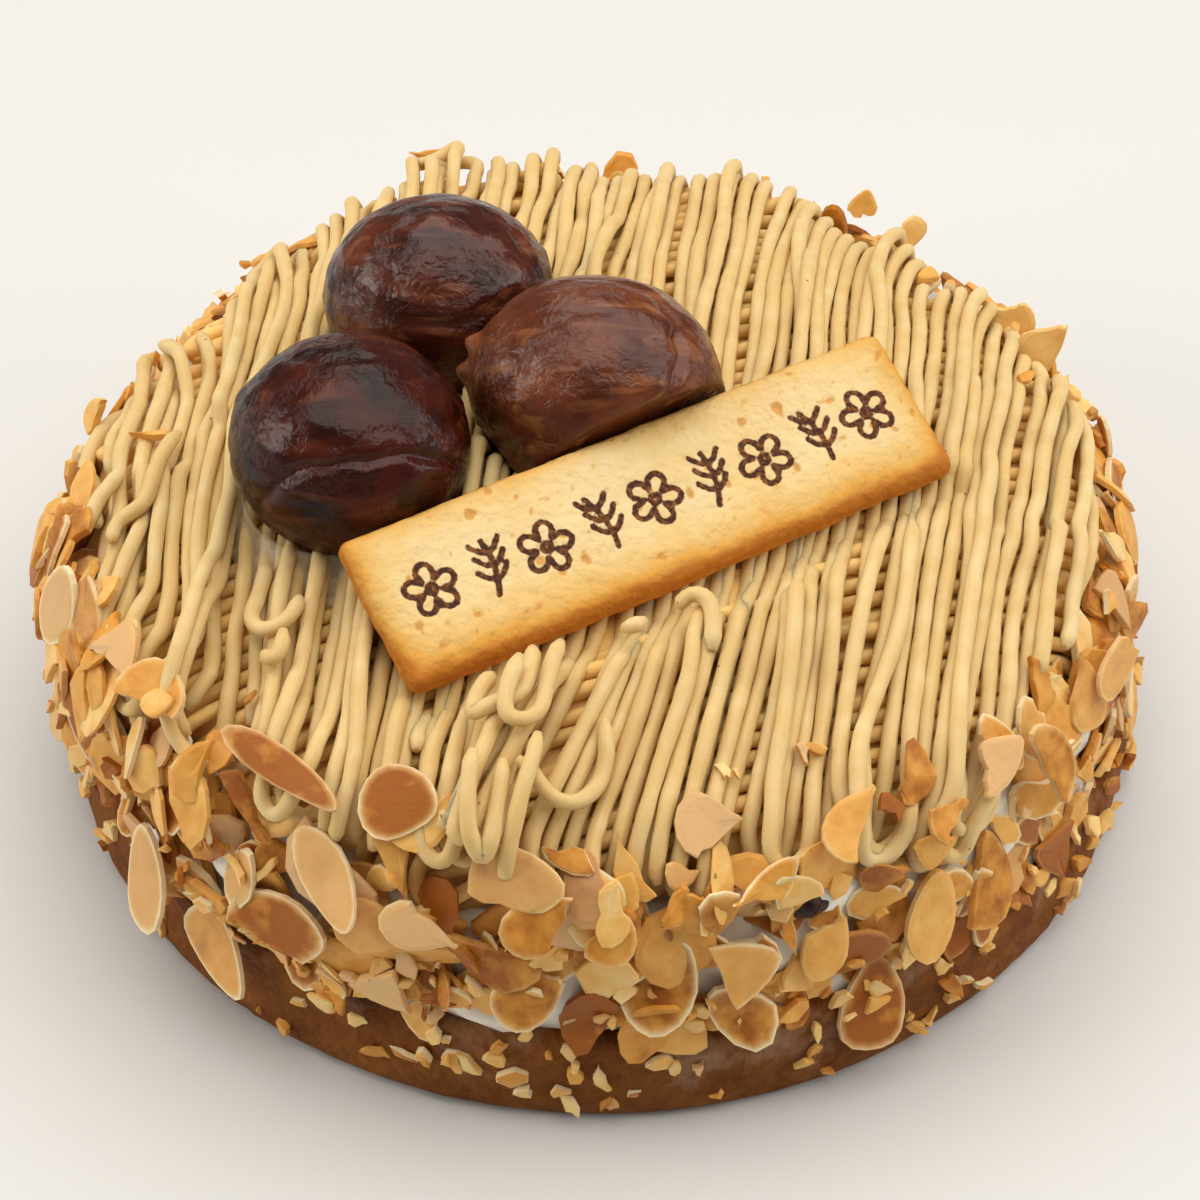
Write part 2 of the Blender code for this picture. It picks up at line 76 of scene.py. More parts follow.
def add_node(tree, kind, inputs=None, stops=(), **settings):
    """New shader node.

    An input is a value, a hex colour, an output socket to link from, or a node whose first output
    is linked. A colour ramp is given its stops as places along it with a hex colour each.
    """
    node = tree.nodes.new("ShaderNode" + kind)
    for name, value in settings.items():
        setattr(node, name, value)
    for key, value in (inputs or {}).items():
        if isinstance(value, bpy.types.Node):
            value = value.outputs[0]
        if isinstance(value, bpy.types.NodeSocket):
            tree.links.new(value, node.inputs[key])
        else:
            node.inputs[key].default_value = colour(value) if isinstance(value, str) else value
    if stops:
        (start, first), *inner, (end, last) = stops
        ramp = node.color_ramp.elements
        ramp[0].position, ramp[0].color = start, colour(first)
        ramp[1].position, ramp[1].color = end, colour(last)
        for place, hex_value in inner:
            ramp.new(place).color = colour(hex_value)
    return node


def raise_bumps(tree, shader, pattern, strength, depth_mm, faces=("Normal",)):
    """The pattern's bright parts stand out of the surface as small bumps."""
    bump = add_node(
        tree, "Bump", {"Height": pattern, "Strength": strength, "Distance": depth_mm * MM}
    )
    for name in faces:
        tree.links.new(bump.outputs[0], shader.inputs[name])


def new_surface(name, **sockets):
    """Material with one Principled shader, whose plain values are set on its own sockets."""
    material = bpy.data.materials.new(name)
    material.use_nodes = True
    tree = material.node_tree
    shader = tree.nodes["Principled BSDF"]
    for key, value in sockets.items():
        shader.inputs[key.replace("_", " ")].default_value = value
    return material, tree, shader


def edit_whole(obj, *steps):
    """Selects the whole mesh in edit mode and takes these steps, each with its settings."""
    bpy.ops.object.select_all(action="DESELECT")
    obj.select_set(True)
    bpy.context.view_layer.objects.active = obj
    bpy.ops.object.mode_set(mode="EDIT")
    bpy.ops.mesh.select_all(action="SELECT")
    for operator, settings in steps:
        operator(**settings)
    bpy.ops.object.mode_set(mode="OBJECT")


def add_attribute(obj, name, values):
    """One number for each point of the mesh, which a material can read by this name."""
    layer = obj.data.attributes.new(name, "FLOAT", "POINT")
    layer.data.foreach_set("value", np.asarray(values, np.float32))


def mesh_piece(name, points_mm, faces, material, smooth=True, attributes=None):
    """Mesh object from arrays: points in mm, one array of faces per number of sides."""
    points = np.asarray(points_mm, np.float64) * MM
    corners = np.concatenate([f.ravel() for f in faces]).astype(np.int32)
    sides = np.concatenate([np.full(len(f), f.shape[1]) for f in faces])
    starts = np.concatenate([[0], np.cumsum(sides)[:-1]]).astype(np.int32)
    mesh = bpy.data.meshes.new(name)
    mesh.vertices.add(len(points))
    mesh.vertices.foreach_set("co", points.astype(np.float32).ravel())
    mesh.loops.add(len(corners))
    mesh.loops.foreach_set("vertex_index", corners)
    mesh.polygons.add(len(starts))
    mesh.polygons.foreach_set("loop_start", starts)
    mesh.polygons.foreach_set("use_smooth", np.full(len(starts), smooth))
    mesh.update(calc_edges=True)
    mesh.materials.append(material)
    obj = bpy.data.objects.new(name, mesh)
    for key, values in (attributes or {}).items():
        add_attribute(obj, key, values)
    bpy.context.scene.collection.objects.link(obj)
    return obj


def hand_in(piece, node):
    """The piece moves with the cake and stands for its solid, which is hidden."""
    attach(piece, "root")
    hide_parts(node)
    piece.data.calc_loop_triangles()
    print(piece.name, "has", len(piece.data.loop_triangles), "triangles")


print("helpers ready")

# %% [markdown]
# The paste is sweetened chestnut purée pressed through a nozzle: smooth, satin, a little
# see-through at its edges. Tiny brown specks of chestnut skin are left in it. The lower strands
# lie in the upper ones' shade, so their copy is painted brighter and warmer to lift that shade.

# %% Material: chestnut paste


def make_paste(name, dark, light):
    material, tree, shader = new_surface(
        name, Roughness=0.55, IOR=1.45, Specular_IOR_Level=0.35, Subsurface_Weight=0.6,
        Subsurface_Scale=1.5 * MM, Subsurface_Radius=(0.85, 0.75, 0.6),
    )
    place = add_node(tree, "TexCoord").outputs["Object"]
    tone = add_node(tree, "Attribute", attribute_name="tone").outputs["Fac"]
    cloud = add_node(tree, "TexNoise", {"Vector": place, "Scale": 260.0, "Detail": 3.0})
    wander = add_node(tree, "Math", {0: cloud, 1: tone}, operation="ADD")
    plain = add_node(tree, "ValToRGB", {"Fac": wander}, ((0.35, dark), (1.0, light)))
    # Of the cells, 2.4 mm wide, one in ten holds a speck.
    cells_here = add_node(tree, "TexVoronoi", {"Vector": place, "Scale": 420.0})
    spot = add_node(
        tree, "MapRange",
        {"Value": cells_here, "From Min": 0.05, "From Max": 0.09, "To Min": 1.0, "To Max": 0.0},
    )
    drawn = add_node(tree, "SeparateColor", {"Color": cells_here.outputs["Color"]})
    rare = add_node(tree, "Math", {0: drawn, 1: 0.9}, operation="GREATER_THAN")
    share = add_node(tree, "Math", {0: spot, 1: rare}, operation="MULTIPLY")
    flecked = add_node(tree, "Mix", {0: share, 6: plain, 7: "#8a5a30"}, data_type="RGBA")
    tree.links.new(flecked.outputs[2], shader.inputs["Base Color"])
    grain = add_node(tree, "TexNoise", {"Vector": place, "Scale": 1800.0, "Detail": 2.0})
    raise_bumps(tree, shader, grain, 0.25, 0.2)
    return material


paste = make_paste("chestnut_paste_satin", "#dbba7b", "#e7d19f")
# A brighter, warmer copy of the paste: painted light for the strands and the bed that lie in shade.
paste_brightened_for_shade = make_paste("chestnut_paste_painted_fill_light", "#efc172", "#f8d58e")
print("made", paste.name, "and", paste_brightened_for_shade.name)

# %% [markdown]
# The heap of strands falls towards its rim and turns over it down to the cream. Strands are laid
# on a bed below it, which is given here as a line from the middle outwards and down the side. A
# distance along that line and an angle name a place on the bed, so that the heap can be worked
# out on a flat disc and wrapped over the rim afterwards, as a cloth would lie.

# %% The bed that the strands lie on


def strand_top(radius):
    """Height of the strands' upper side, as in the solids."""
    return 52.5 - 0.0004 * radius**2 - 3.55e-7 * radius**4


def smoothed(values, width):
    """Values along a line, each averaged with its neighbours; the ends keep their level."""
    reach = max(1, int(round(3 * width)))
    weights = np.exp(-0.5 * (np.arange(-reach, reach + 1) / width) ** 2)
    padded = np.pad(values, reach, mode="edge")
    return np.convolve(padded, weights / weights.sum(), mode="valid")


def run_of(steps):
    """Distance from the start of a line at each of its points."""
    return np.concatenate([[0], np.cumsum(steps)])


def rounded_line(line, width):
    """A line of few points, read every tenth of a millimetre: distances, radii and heights."""
    run = run_of(np.hypot(*np.diff(line, axis=0).T))
    at = np.arange(0.0, run[-1], 0.1)
    return at, *(smoothed(np.interp(at, run, line[:, k]), width) for k in (0, 1))


BED_DEPTH = 3.9
dome = [(r, strand_top(r) - BED_DEPTH) for r in np.arange(0.0, 61.6, 1.0)]
line = np.array(dome + [(63.2, 40.7), (64.5, 38.5), (65.7, 35.8), (66.5, 33.6), (67.0, 30.0)])
BED_REACH, BED_RADIUS, BED_HEIGHT = rounded_line(line, 9.0)
# Near the middle the bed is level, so the distance along it is the radius.
BED_RADIUS[:100] = BED_REACH[:100]
fall = np.arctan2(-np.gradient(BED_HEIGHT), np.gradient(BED_RADIUS))
BED_TILT = smoothed(fall, 12.0)
RIM_REACH = float(np.interp(64.5, BED_RADIUS, BED_REACH))
# Which share of its radius the rim has at each angle, and where loops end at most, in mm.
RIM_ANGLE = (-180, -160, -120, -60, -25, -8, 4, 12, 22, 30, 35, 41, 50, 60, 68, 90, 106, 118, 130,
             138, 146, 154, 168, 180)
RIM_SHARE = (1.01, 1.01, 1.01, 1.01, 1.01, 1.0, 0.985, 0.975, 0.96, 0.94, 0.92, 0.905, 0.92, 0.965,
             0.985, 0.985, 0.99, 0.985, 0.975, 0.965, 0.96, 0.97, 0.985, 1.01)
OUT_ANGLE = (-180, -25, -11, 1, 11, 22, 35, 53, 66, 81, 105, 123, 136, 149, 163, 173, 180)
OUT_RADIUS = (72, 72, 68, 65.5, 65, 64, 63.5, 64, 66, 67, 69, 66, 67, 68.5, 68.5, 70.5, 72)
DRAWN_IN = 0.55
print("from the middle to the rim:", round(RIM_REACH, 1), "mm, to the end:", BED_REACH[-1].round(1))


def rim_stretch(angle, radius):
    """The rim is no true circle: share of its radius that a place keeps, 1 near the middle."""
    share = np.interp(np.degrees(angle), RIM_ANGLE, RIM_SHARE)
    still_round, to_the_rim = 25.0, 32.0
    return 1 + (share - 1) * np.clip((radius - still_round) / to_the_rim, 0, 1)


def wrap(x, y, above):
    """Real place of a point of the flat disc, this far above the bed; far loops are drawn in."""
    out = np.hypot(x, y)
    angle = np.arctan2(y, x)
    radius, height, tilt = (
        np.interp(out, BED_REACH, line) for line in (BED_RADIUS, BED_HEIGHT, BED_TILT)
    )
    radius = radius + np.sin(tilt) * above
    height = height + np.cos(tilt) * above
    radius = radius * rim_stretch(angle, radius)
    limit = np.interp(np.degrees(angle), OUT_ANGLE, OUT_RADIUS) - 1.0
    radius -= DRAWN_IN * np.clip(radius - limit, 0, None)
    return np.stack([radius * np.cos(angle), radius * np.sin(angle), height], axis=-1)


# %% [markdown]
# Strands are laid one after another, as the nozzle lays them, and each one rests on what is there
# already. The heap so far is kept as a field of heights. A new strand slides off the ridges that it
# meets, bridges narrow gaps, sags into wide ones, and is then added to the field itself.

# %% Laying a strand on the heap
CELL = 0.25
FIELD_HALF = 84.0
STEP = 0.5
STRAND_RADIUS = 1.02


def fresh_field():
    size = int(2 * FIELD_HALF / CELL) + 1
    return np.zeros((size, size))


def ball_offsets(radius, cell, softness=1.0):
    """Cells under a ball, with the ball's depth over each; soft paste sinks in a little."""
    span = int(radius / cell)
    found = []
    for i in range(-span, span + 1):
        for j in range(-span, span + 1):
            flat = (i * i + j * j) * cell**2
            if flat <= radius * radius:
                found.append((i, j, softness * math.sqrt(radius * radius - flat)))
    return found


REST = ball_offsets(STRAND_RADIUS, CELL, 0.86)
STAMP = ball_offsets(STRAND_RADIUS, CELL)


def cells(x, y):
    """Column and row of the field under each point, kept off its border by a few cells."""
    border = 8
    last = int(2 * FIELD_HALF / CELL) - border
    return [np.clip(np.rint((v + FIELD_HALF) / CELL).astype(int), border, last) for v in (x, y)]


def resting_height(field, x, y):
    """Height at which the strand's middle would rest over each of these points."""
    i, j = cells(x, y)
    far_below = -9.0
    best = np.full(len(x), far_below)
    for di, dj, lift in REST:
        np.maximum(best, field[j + dj, i + di] + lift, out=best)
    return best


def bridged(heights, sag=0.055, window=14):
    """A strand over its supports: it curves down beside each one no faster than paste bends."""
    padded = np.pad(heights, window, mode="edge")
    best = heights.copy()
    for k in range(1, window + 1):
        drop = sag * (k * STEP) ** 2
        before = padded[window - k : window - k + len(heights)] - drop
        after = padded[window + k : window + k + len(heights)] - drop
        best = np.maximum(best, np.maximum(before, after))
    return smoothed(best, 1.0 / STEP)


def evenly(path, step):
    """The same path with its points this far apart."""
    lengths = run_of(np.hypot(*np.diff(path, axis=0).T))
    count = max(2, int(round(lengths[-1] / step)) + 1)
    at = np.linspace(0, lengths[-1], count)
    return np.stack([np.interp(at, lengths, path[:, k]) for k in range(2)], axis=1)


def unit(vectors):
    return vectors / (np.linalg.norm(vectors, axis=1)[:, None] + 1e-9)


# Its last millimetres are held. A step aside is a share of the difference of the two sides.
HELD_END, BLEND_IN, SLIDES, SLIDE_SHARE, STEEPEST_SIDE = 4.0, 2.5, 6, 0.12, 1.2


def lay_strand(field, path, start_height=None):
    """Lays one length of strand and returns its points with their heights above the bed."""
    path = evenly(path, STEP)
    hold = np.minimum(np.arange(len(path)), np.arange(len(path))[::-1]) * STEP
    hold = np.clip(hold / HELD_END, 0, 1)
    for _ in range(SLIDES):
        ahead = unit(np.gradient(path, axis=0))
        side = np.stack([-ahead[:, 1], ahead[:, 0]], axis=1)
        left = resting_height(field, *(path + 0.5 * side).T)
        right = resting_height(field, *(path - 0.5 * side).T)
        slope = np.clip(left - right, -STEEPEST_SIDE, STEEPEST_SIDE)
        slide = smoothed(-SLIDE_SHARE * slope, 5.5 / STEP)
        path = path + side * (slide * hold)[:, None]
    heights = resting_height(field, *path.T)
    if start_height is not None:
        heights[: int(BLEND_IN / STEP)] = start_height
    heights = bridged(heights)
    if start_height is not None:
        blend = np.clip(np.arange(len(path)) * STEP / BLEND_IN, 0, 1)
        heights = start_height * (1 - blend) + heights * blend
    i, j = cells(*path.T)
    for di, dj, lift in STAMP:
        np.maximum.at(field, (j + dj, i + di), heights + lift)
    return np.column_stack([path, heights])


print("field of", fresh_field().shape, "cells of", CELL, "mm")

# %% [markdown]
# The nozzle has a few holes side by side and is moved to and fro over the cake, with a turn beyond
# the rim at each end. Every hole's strand follows the nozzle's way, shifted, so that the turns lie
# over each other as loops. Here and there a strand tears, and its end hangs over the rim.

# %% The nozzle's way over the cake


def pass_line(centre, wobble, start, end):
    """One run of a strand along +y, from start to end, with a slow wobble sideways."""
    count = max(3, int(abs(end - start) / 2.0))
    along = np.linspace(start, end, count)
    across = centre + wobble(along)
    return np.column_stack([across, along])


def turn_between(first, second, sign, depth, skew):
    """Loop from the end of one run to the beginning of the next."""
    a, b = first[-1], second[0]
    share = np.linspace(0, math.pi, 11)[1:-1]
    middle = (a + b) / 2
    half = (a - b) / 2
    loop = middle + np.cos(share)[:, None] * half
    loop[:, 1] += sign * depth * np.sin(share)
    loop[:, 0] += skew * np.sin(share)
    return loop


def wobble_of(rng, size):
    """Sideways wander along a run: straight stretches that meet in soft kinks."""
    places = np.cumsum(rng.uniform(13.0, 32.0, 14)) - 100.0
    grid = np.arange(-95.0, 95.1, 0.5)
    offsets = smoothed(np.interp(grid, places, rng.normal(0.0, size, len(places))), 10.0)
    return lambda along: np.interp(along, grid, offsets)


def run_ends(place, slant):
    """Where a slanting run crosses the rim: its near end and its far end."""
    place = math.copysign(min(abs(place), RIM_REACH - 2.0), place)
    square = 1 + slant * slant
    half = math.sqrt(max(RIM_REACH**2 * square - place**2, 0.0))
    return (-place * slant - half) / square, (-place * slant + half) / square


def nozzle_strands(rng, passes, spacing, holes, pitch, over, pull, fan, torn_share):
    """Runs and loops of every hole's strand, in the order in which they come down.

    over gives how far a loop may fall short of or go beyond the rim, at either end, pull how far
    the runs in the middle are drawn aside at their near end, and fan the slant of a run in degrees
    in the middle and how much it grows with each millimetre to the right.
    """
    chunks = []
    first = -(passes - 1) / 2 * spacing
    centres = [first + i * spacing + rng.uniform(-0.6, 0.6) for i in range(passes)]
    drift = [wobble_of(rng, 0.65) for _ in range(passes)]
    level = [rng.uniform(*over[i % 2]) - 4.0 * max(0.0, abs(c) / 10 - 5.2)
             for i, c in enumerate(centres)]
    sweep = [pull * rng.uniform(0.5, 1.1) * math.exp(-(((c - 7.0) / 13.0) ** 2)) for c in centres]
    runs = []
    for k in range(holes):
        shift = (k - (holes - 1) / 2) * pitch
        own = []
        for i in range(passes):
            place = centres[i] + shift + rng.uniform(-0.6, 0.6)
            slant = math.tan(math.radians(fan[0] + fan[1] * place))
            up = 1 if i % 2 == 0 else -1
            near, far = run_ends(place, slant)[::up]
            begin = near - up * (level[i - 1] if i else 0.0)
            end = far + up * (level[i] + rng.uniform(-1.4, 1.0))
            line_points = pass_line(place, wobble_of(rng, 0.55), begin, end)
            line_points[:, 0] += drift[i](line_points[:, 1]) + slant * line_points[:, 1]
            line_points[:, 0] -= sweep[i] * np.clip((-line_points[:, 1] - 30) / 28, 0, 1.2) ** 1.6
            own.append(line_points)
        runs.append(own)
    for i in range(passes):
        # The outer holes' strands come down first and the middle one's over them.
        for k in (0, 2, 1):
            own = runs[k]
            up = 1 if i % 2 == 0 else -1
            middle = len(own[i]) // 2
            tail = own[i][middle:]
            if i == passes - 1:
                chunks.append((k, "end", tail))
                continue
            head = own[i + 1].copy()
            gap = tail[-1, 1] - head[0, 1]
            fade = np.clip(1 - 2.6 * np.linspace(0, 1, len(head)), 0, 1) ** 2
            head[:, 1] += gap * fade
            head = head[: len(head) // 2 + 1]
            width = abs(tail[-1, 0] - head[0, 0])
            loop = turn_between(
                tail, head, up, width * rng.uniform(0.45, 0.85), rng.uniform(-1.6, 1.6)
            )
            if i == 0:  # No loop comes before the first run, so it is laid from its start.
                tail = own[0]
            torn = rng.random() < torn_share
            chunks.append((k, "torn" if torn else "whole", tail, loop, head))
    return chunks


def lay_all(field, chunks, turn, rng):
    """Lays the strands in order on the field, turned about the middle, and joins their parts."""
    c, s = math.cos(turn), math.sin(turn)
    spin = np.array([[c, s], [-s, c]])
    open_strands = {}
    finished = []

    def put(k, path, from_before):
        before = open_strands.get(k) if from_before else None
        laid = lay_strand(field, path @ spin, before[-1][2] if before is not None else None)
        if before is None:
            if k in open_strands:
                finished.append(open_strands[k])
            open_strands[k] = laid
        else:
            laid[0] = before[-1]
            open_strands[k] = np.concatenate([before, laid[1:]])

    for chunk in chunks:
        k, state, tail, *rest = chunk
        if rest:
            loop, head = rest
            if state == "torn":
                hang = int(len(loop) * rng.uniform(0.1, 0.5))
                put(k, np.concatenate([tail, loop[:hang]]), True)
                put(k, np.concatenate([loop[-2:], head]), False)
            else:
                put(k, np.concatenate([tail, loop, head]), True)
        else:
            put(k, tail, True)
    finished += [open_strands[k] for k in sorted(open_strands)]
    return finished


def length_of(strands):
    return f"{len(strands)} strands, {sum(len(s) for s in strands) * STEP * MM:.1f} m"


# The lower strands run across the cake and the upper ones nearly straight away from the front.
LOWER = {"passes": 18, "spacing": 8.1, "holes": 3, "pitch": 2.7, "pull": 0.0, "fan": (0.0, 0.0),
         "over": ((-4.0, 0.5), (-4.0, 0.5)), "torn_share": 0.1}
UPPER = {"passes": 24, "spacing": 5.4, "holes": 3, "pitch": 1.84, "pull": 7.0,
         "fan": (-2.6, 0.12), "over": ((-3.5, 0.5), (-6.0, 2.0)), "torn_share": 0.2}
heap = fresh_field()
rng = np.random.default_rng(12)
lower = lay_all(heap, nozzle_strands(rng, **LOWER), math.radians(-74.0), rng)
upper = lay_all(heap, nozzle_strands(rng, **UPPER), math.radians(-9.5), rng)
print("below", length_of(lower), "and above", length_of(upper))
print("highest point above the bed:", round(float(heap.max()), 1), "mm")

# %% [markdown]
# Some strands came down folded, doubled back or torn off short. The ones that catch the eye are
# laid one by one where they lie on the cake, given by their places seen from above.

# %% Folded and torn strands
SINGLE = (
    ((-8.2, -41.4), (-8.6, -45.8), (-9.0, -49.7), (-10.9, -50.3), (-14.0, -51.2), (-15.2, -52.5),
     (-14.0, -48.5), (-12.9, -44.6)),
    ((-4.7, -41.1), (-6.0, -44.8), (-6.7, -48.8), (-7.0, -51.9), (-8.1, -53.2), (-10.5, -53.4),
     (-11.1, -52.1), (-10.0, -48.0), (-9.4, -44.8)),
    ((-20.9, -46.4), (-21.2, -50.4), (-21.9, -53.2)),
    ((-9.9, -56.7), (-8.0, -57.7), (-7.1, -59.4), (-4.6, -60.7), (-2.2, -60.1), (-0.7, -58.4),
     (-0.1, -55.6), (0.3, -50.2)),
    ((-7.1, -54.2), (-8.0, -58.3), (-9.2, -62.2), (-10.4, -64.5), (-11.2, -65.7)),
    ((-14.2, -56.1), (-14.6, -59.2), (-14.1, -62.0), (-12.2, -63.6), (-11.0, -62.7), (-10.8, -59.4),
     (-11.1, -56.9)),
    ((-61.2, 24.6), (-62.4, 14.2), (-64.2, 6.6), (-65.5, 3.3), (-64.0, -4.5), (-61.8, -13.2)),
    ((-60.4, -4.8), (-61.2, -7.9), (-62.0, -9.8), (-61.8, -14.4)),
    ((-54.9, 1.2), (-56.6, -6.2), (-57.4, -12.5), (-59.4, -13.5), (-60.4, -14.1), (-59.7, -17.6)),
    ((-41.8, -23.7), (-42.0, -28.2), (-42.5, -33.7), (-41.2, -36.3), (-38.9, -36.2), (-36.9, -34.2),
     (-36.6, -31.4)),
    ((-40.4, -38.8), (-40.0, -40.4), (-38.6, -41.0), (-37.9, -38.6), (-37.8, -36.7)),
    ((12.3, -34.2), (11.2, -44.6), (8.9, -51.4), (7.6, -55.5), (5.7, -62.3), (2.7, -66.1)),
)


def on_disc(places):
    """Places on the cake as a smooth path on the flat disc."""
    path = evenly(np.array(places), STEP)
    width = 2.6 if len(path) > 50 else 1.3
    path = np.column_stack([smoothed(path[:, k], width / STEP) for k in range(2)])
    out = np.hypot(*path.T)
    plain = out / rim_stretch(np.arctan2(path[:, 1], path[:, 0]), out)
    return path * (np.interp(plain, BED_RADIUS, BED_REACH) / out)[:, None]


upper += [lay_strand(heap, on_disc(places)) for places in SINGLE]
print("strands laid one by one:", len(SINGLE))

# %% [markdown]
# Chestnuts and biscuit are put on last and press the strands down. A strand that would run into
# one of them is pushed under it, and eased down over a few millimetres on either side.

# %% Press the strands under the toppings
# Middle and half lengths of each chestnut, as in the solids.
TOPPINGS = {
    "chestnut_left": ((-32.3, -11.8, 60.0), (15.5, 14.5, 13.2)),
    "chestnut_back": ((-21.9, 18.4, 57.8), (15.3, 13.7, 12.8)),
    "chestnut_right": ((-1.0, -1.2, 60.3), (16.5, 14.5, 13.3)),
}
BISCUIT_SIZE = (79.8, 22.7, 4.8)
BISCUIT_TOP = Vector((6.9, -21.0, 58.0))


def biscuit_axes():
    """Length, width and upward directions of the biscuit, as in the solids."""
    turn, lean, rise = (math.radians(a) for a in (29.1, 22.0, 1.0))
    along = Vector((math.cos(turn), math.sin(turn), 0))
    beside = Vector((-along.y, along.x, 0))
    up = Vector((0, 0, 1))
    along = along * math.cos(rise) + up * math.sin(rise)
    beside = beside * math.cos(lean) + up * math.sin(lean)
    beside = (beside - along * beside.dot(along)).normalized()
    return along, beside, along.cross(beside)


FAR_ABOVE = 999.0


def ceilings(points):
    """Underside of the chestnuts and of the biscuit over each point, or a height far above."""
    top = np.full(len(points), FAR_ABOVE)
    for place, axes in TOPPINGS.values():
        flat = ((points[:, :2] - place[:2]) / (np.array(axes[:2]) + 0.8)) ** 2
        inside = flat.sum(axis=1) < 1
        depth = axes[2] * np.sqrt(np.clip(1 - flat.sum(axis=1), 0, 1))
        under = place[2] - depth
        top = np.where(inside, np.minimum(top, under), top)
    along, beside, normal = biscuit_axes()
    offset = points - np.array(BISCUIT_TOP)
    u = offset @ np.array(along)
    flat_beside = np.array((beside.x, beside.y)) / Vector((beside.x, beside.y)).length
    v = (points[:, :2] - np.array(BISCUIT_TOP)[:2]) @ flat_beside / beside.to_2d().length
    inside = (abs(u) < BISCUIT_SIZE[0] / 2 + 0.3) & (abs(v) < BISCUIT_SIZE[1] / 2 + 0.3)
    under = BISCUIT_TOP.z + v * beside.z + u * along.z - BISCUIT_SIZE[2] / normal.z
    return top, np.where(inside, under, FAR_ABOVE)


def pressed(points, clearance):
    """Points of a strand, pushed under what lies on it; towards the biscuit it slopes down."""
    nuts, biscuit_low = ceilings(points)
    over = np.clip(points[:, 2] + clearance - biscuit_low, 0, None)
    sloped = over.copy()
    steepest, far_as = 0.42, 17
    for k in range(1, far_as):
        fall = steepest * k * STEP
        sloped[k:] = np.maximum(sloped[k:], over[:-k] - fall)
        sloped[:-k] = np.maximum(sloped[:-k], over[k:] - fall)
    under_nut = np.clip(points[:, 2] + clearance - nuts, 0, None)
    over = np.maximum(over, under_nut)
    if over.max() <= 0:
        return points
    eased = np.maximum(smoothed(sloped, 1.2 / STEP), smoothed(under_nut, 0.8 / STEP))
    points = points.copy()
    points[:, 2] -= np.maximum(over, eased)
    return points


print("biscuit's underside at its near edge:",
      round(float(ceilings(np.array([[12.0, -30.0, 50.0]]))[1][0]), 1), "mm")

# %% [markdown]
# A strand becomes a tube around its line. Rings of points stand close together in the loops and
# further apart in straight runs, and the tube swells and thins a little, as paste does. Its ends
# are drawn in to a ragged tip.

# %% Strands as tubes


# Rings of a tube for each millimetre, and how many more for each radian of bend in it.
RINGS_STRAIGHT, RINGS_BENT = 0.62, 2.0


def ring_places(points):
    """Distances along a line at which rings stand: closer where it bends."""
    ahead = np.diff(points, axis=0)
    length = np.linalg.norm(ahead, axis=1) + 1e-9
    ahead /= length[:, None]
    bend = np.zeros(len(points))
    bend[1:-1] = np.arccos(np.clip((ahead[1:] * ahead[:-1]).sum(axis=1), -1, 1))
    bend[1:-1] /= (length[1:] + length[:-1]) / 2
    bend = smoothed(bend, 1.5)
    along = run_of(length)
    cost = run_of(length * (RINGS_STRAIGHT + RINGS_BENT * (bend[1:] + bend[:-1]) / 2))
    count = max(4, int(cost[-1]))
    return along, np.interp(np.linspace(0, cost[-1], count), cost, along)


def tube(points, rng, sides, radius):
    """Rings of a tube around a line of points."""
    along, at = ring_places(points)
    line_points = np.stack([np.interp(at, along, points[:, k]) for k in range(3)], axis=1)
    ahead = unit(np.gradient(line_points, axis=0))
    side = unit(np.cross(ahead, (0.0, 0.0, 1.0)))
    up = np.cross(side, ahead)
    phase = rng.uniform(0, 100)
    swell = 1 + 0.05 * np.sin(at * 0.31 + phase) + 0.03 * np.sin(at * 1.13 + 2 * phase)
    swell *= 1 + rng.uniform(-0.04, 0.04)
    from_end = np.minimum(at, at[-1] - at)
    swell *= np.sqrt(np.clip(0.30 + from_end / 0.9, 0, 1))
    angle = np.linspace(0, math.tau, sides, endpoint=False)
    ring = (np.cos(angle)[None, :, None] * side[:, None, :]
            + np.sin(angle)[None, :, None] * up[:, None, :] * 0.97)
    return line_points[:, None, :] + ring * (radius * swell)[:, None, None]


def soft_line(places):
    """Smooth line through real places."""
    places = np.array(places)
    lengths = run_of(np.linalg.norm(np.diff(places, axis=0), axis=1))
    at = np.linspace(0, lengths[-1], int(lengths[-1] / STEP) + 2)
    return np.column_stack([smoothed(np.interp(at, lengths, places[:, k]), 2.0) for k in range(3)])


def tubes_piece(name, lines, rng, sides, radius, material):
    """All strands of a layer as one mesh."""
    points, quads, tips, tones = [], [], [], []
    count = 0
    for real in lines:
        rings = tube(real, rng, sides, radius)
        n = len(rings)
        index = count + np.arange(n * sides).reshape(n, sides)
        nxt = np.roll(index, -1, axis=1)
        quads.append(np.stack([index[:-1], index[1:], nxt[1:], nxt[:-1]], axis=-1).reshape(-1, 4))
        tip = count + n * sides
        tips.append(np.stack([index[0], nxt[0], np.full(sides, tip)], axis=-1))
        tips.append(np.stack([nxt[-1], index[-1], np.full(sides, tip + 1)], axis=-1))
        points += [rings.reshape(-1, 3), rings[0].mean(axis=0)[None], rings[-1].mean(axis=0)[None]]
        count = tip + 2
        tones.append(np.full(n * sides + 2, rng.uniform(-0.12, 0.12)))
    faces = [np.concatenate(quads), np.concatenate(tips)]
    return mesh_piece(name, np.concatenate(points), faces, material,
                      attributes={"tone": np.concatenate(tones)})


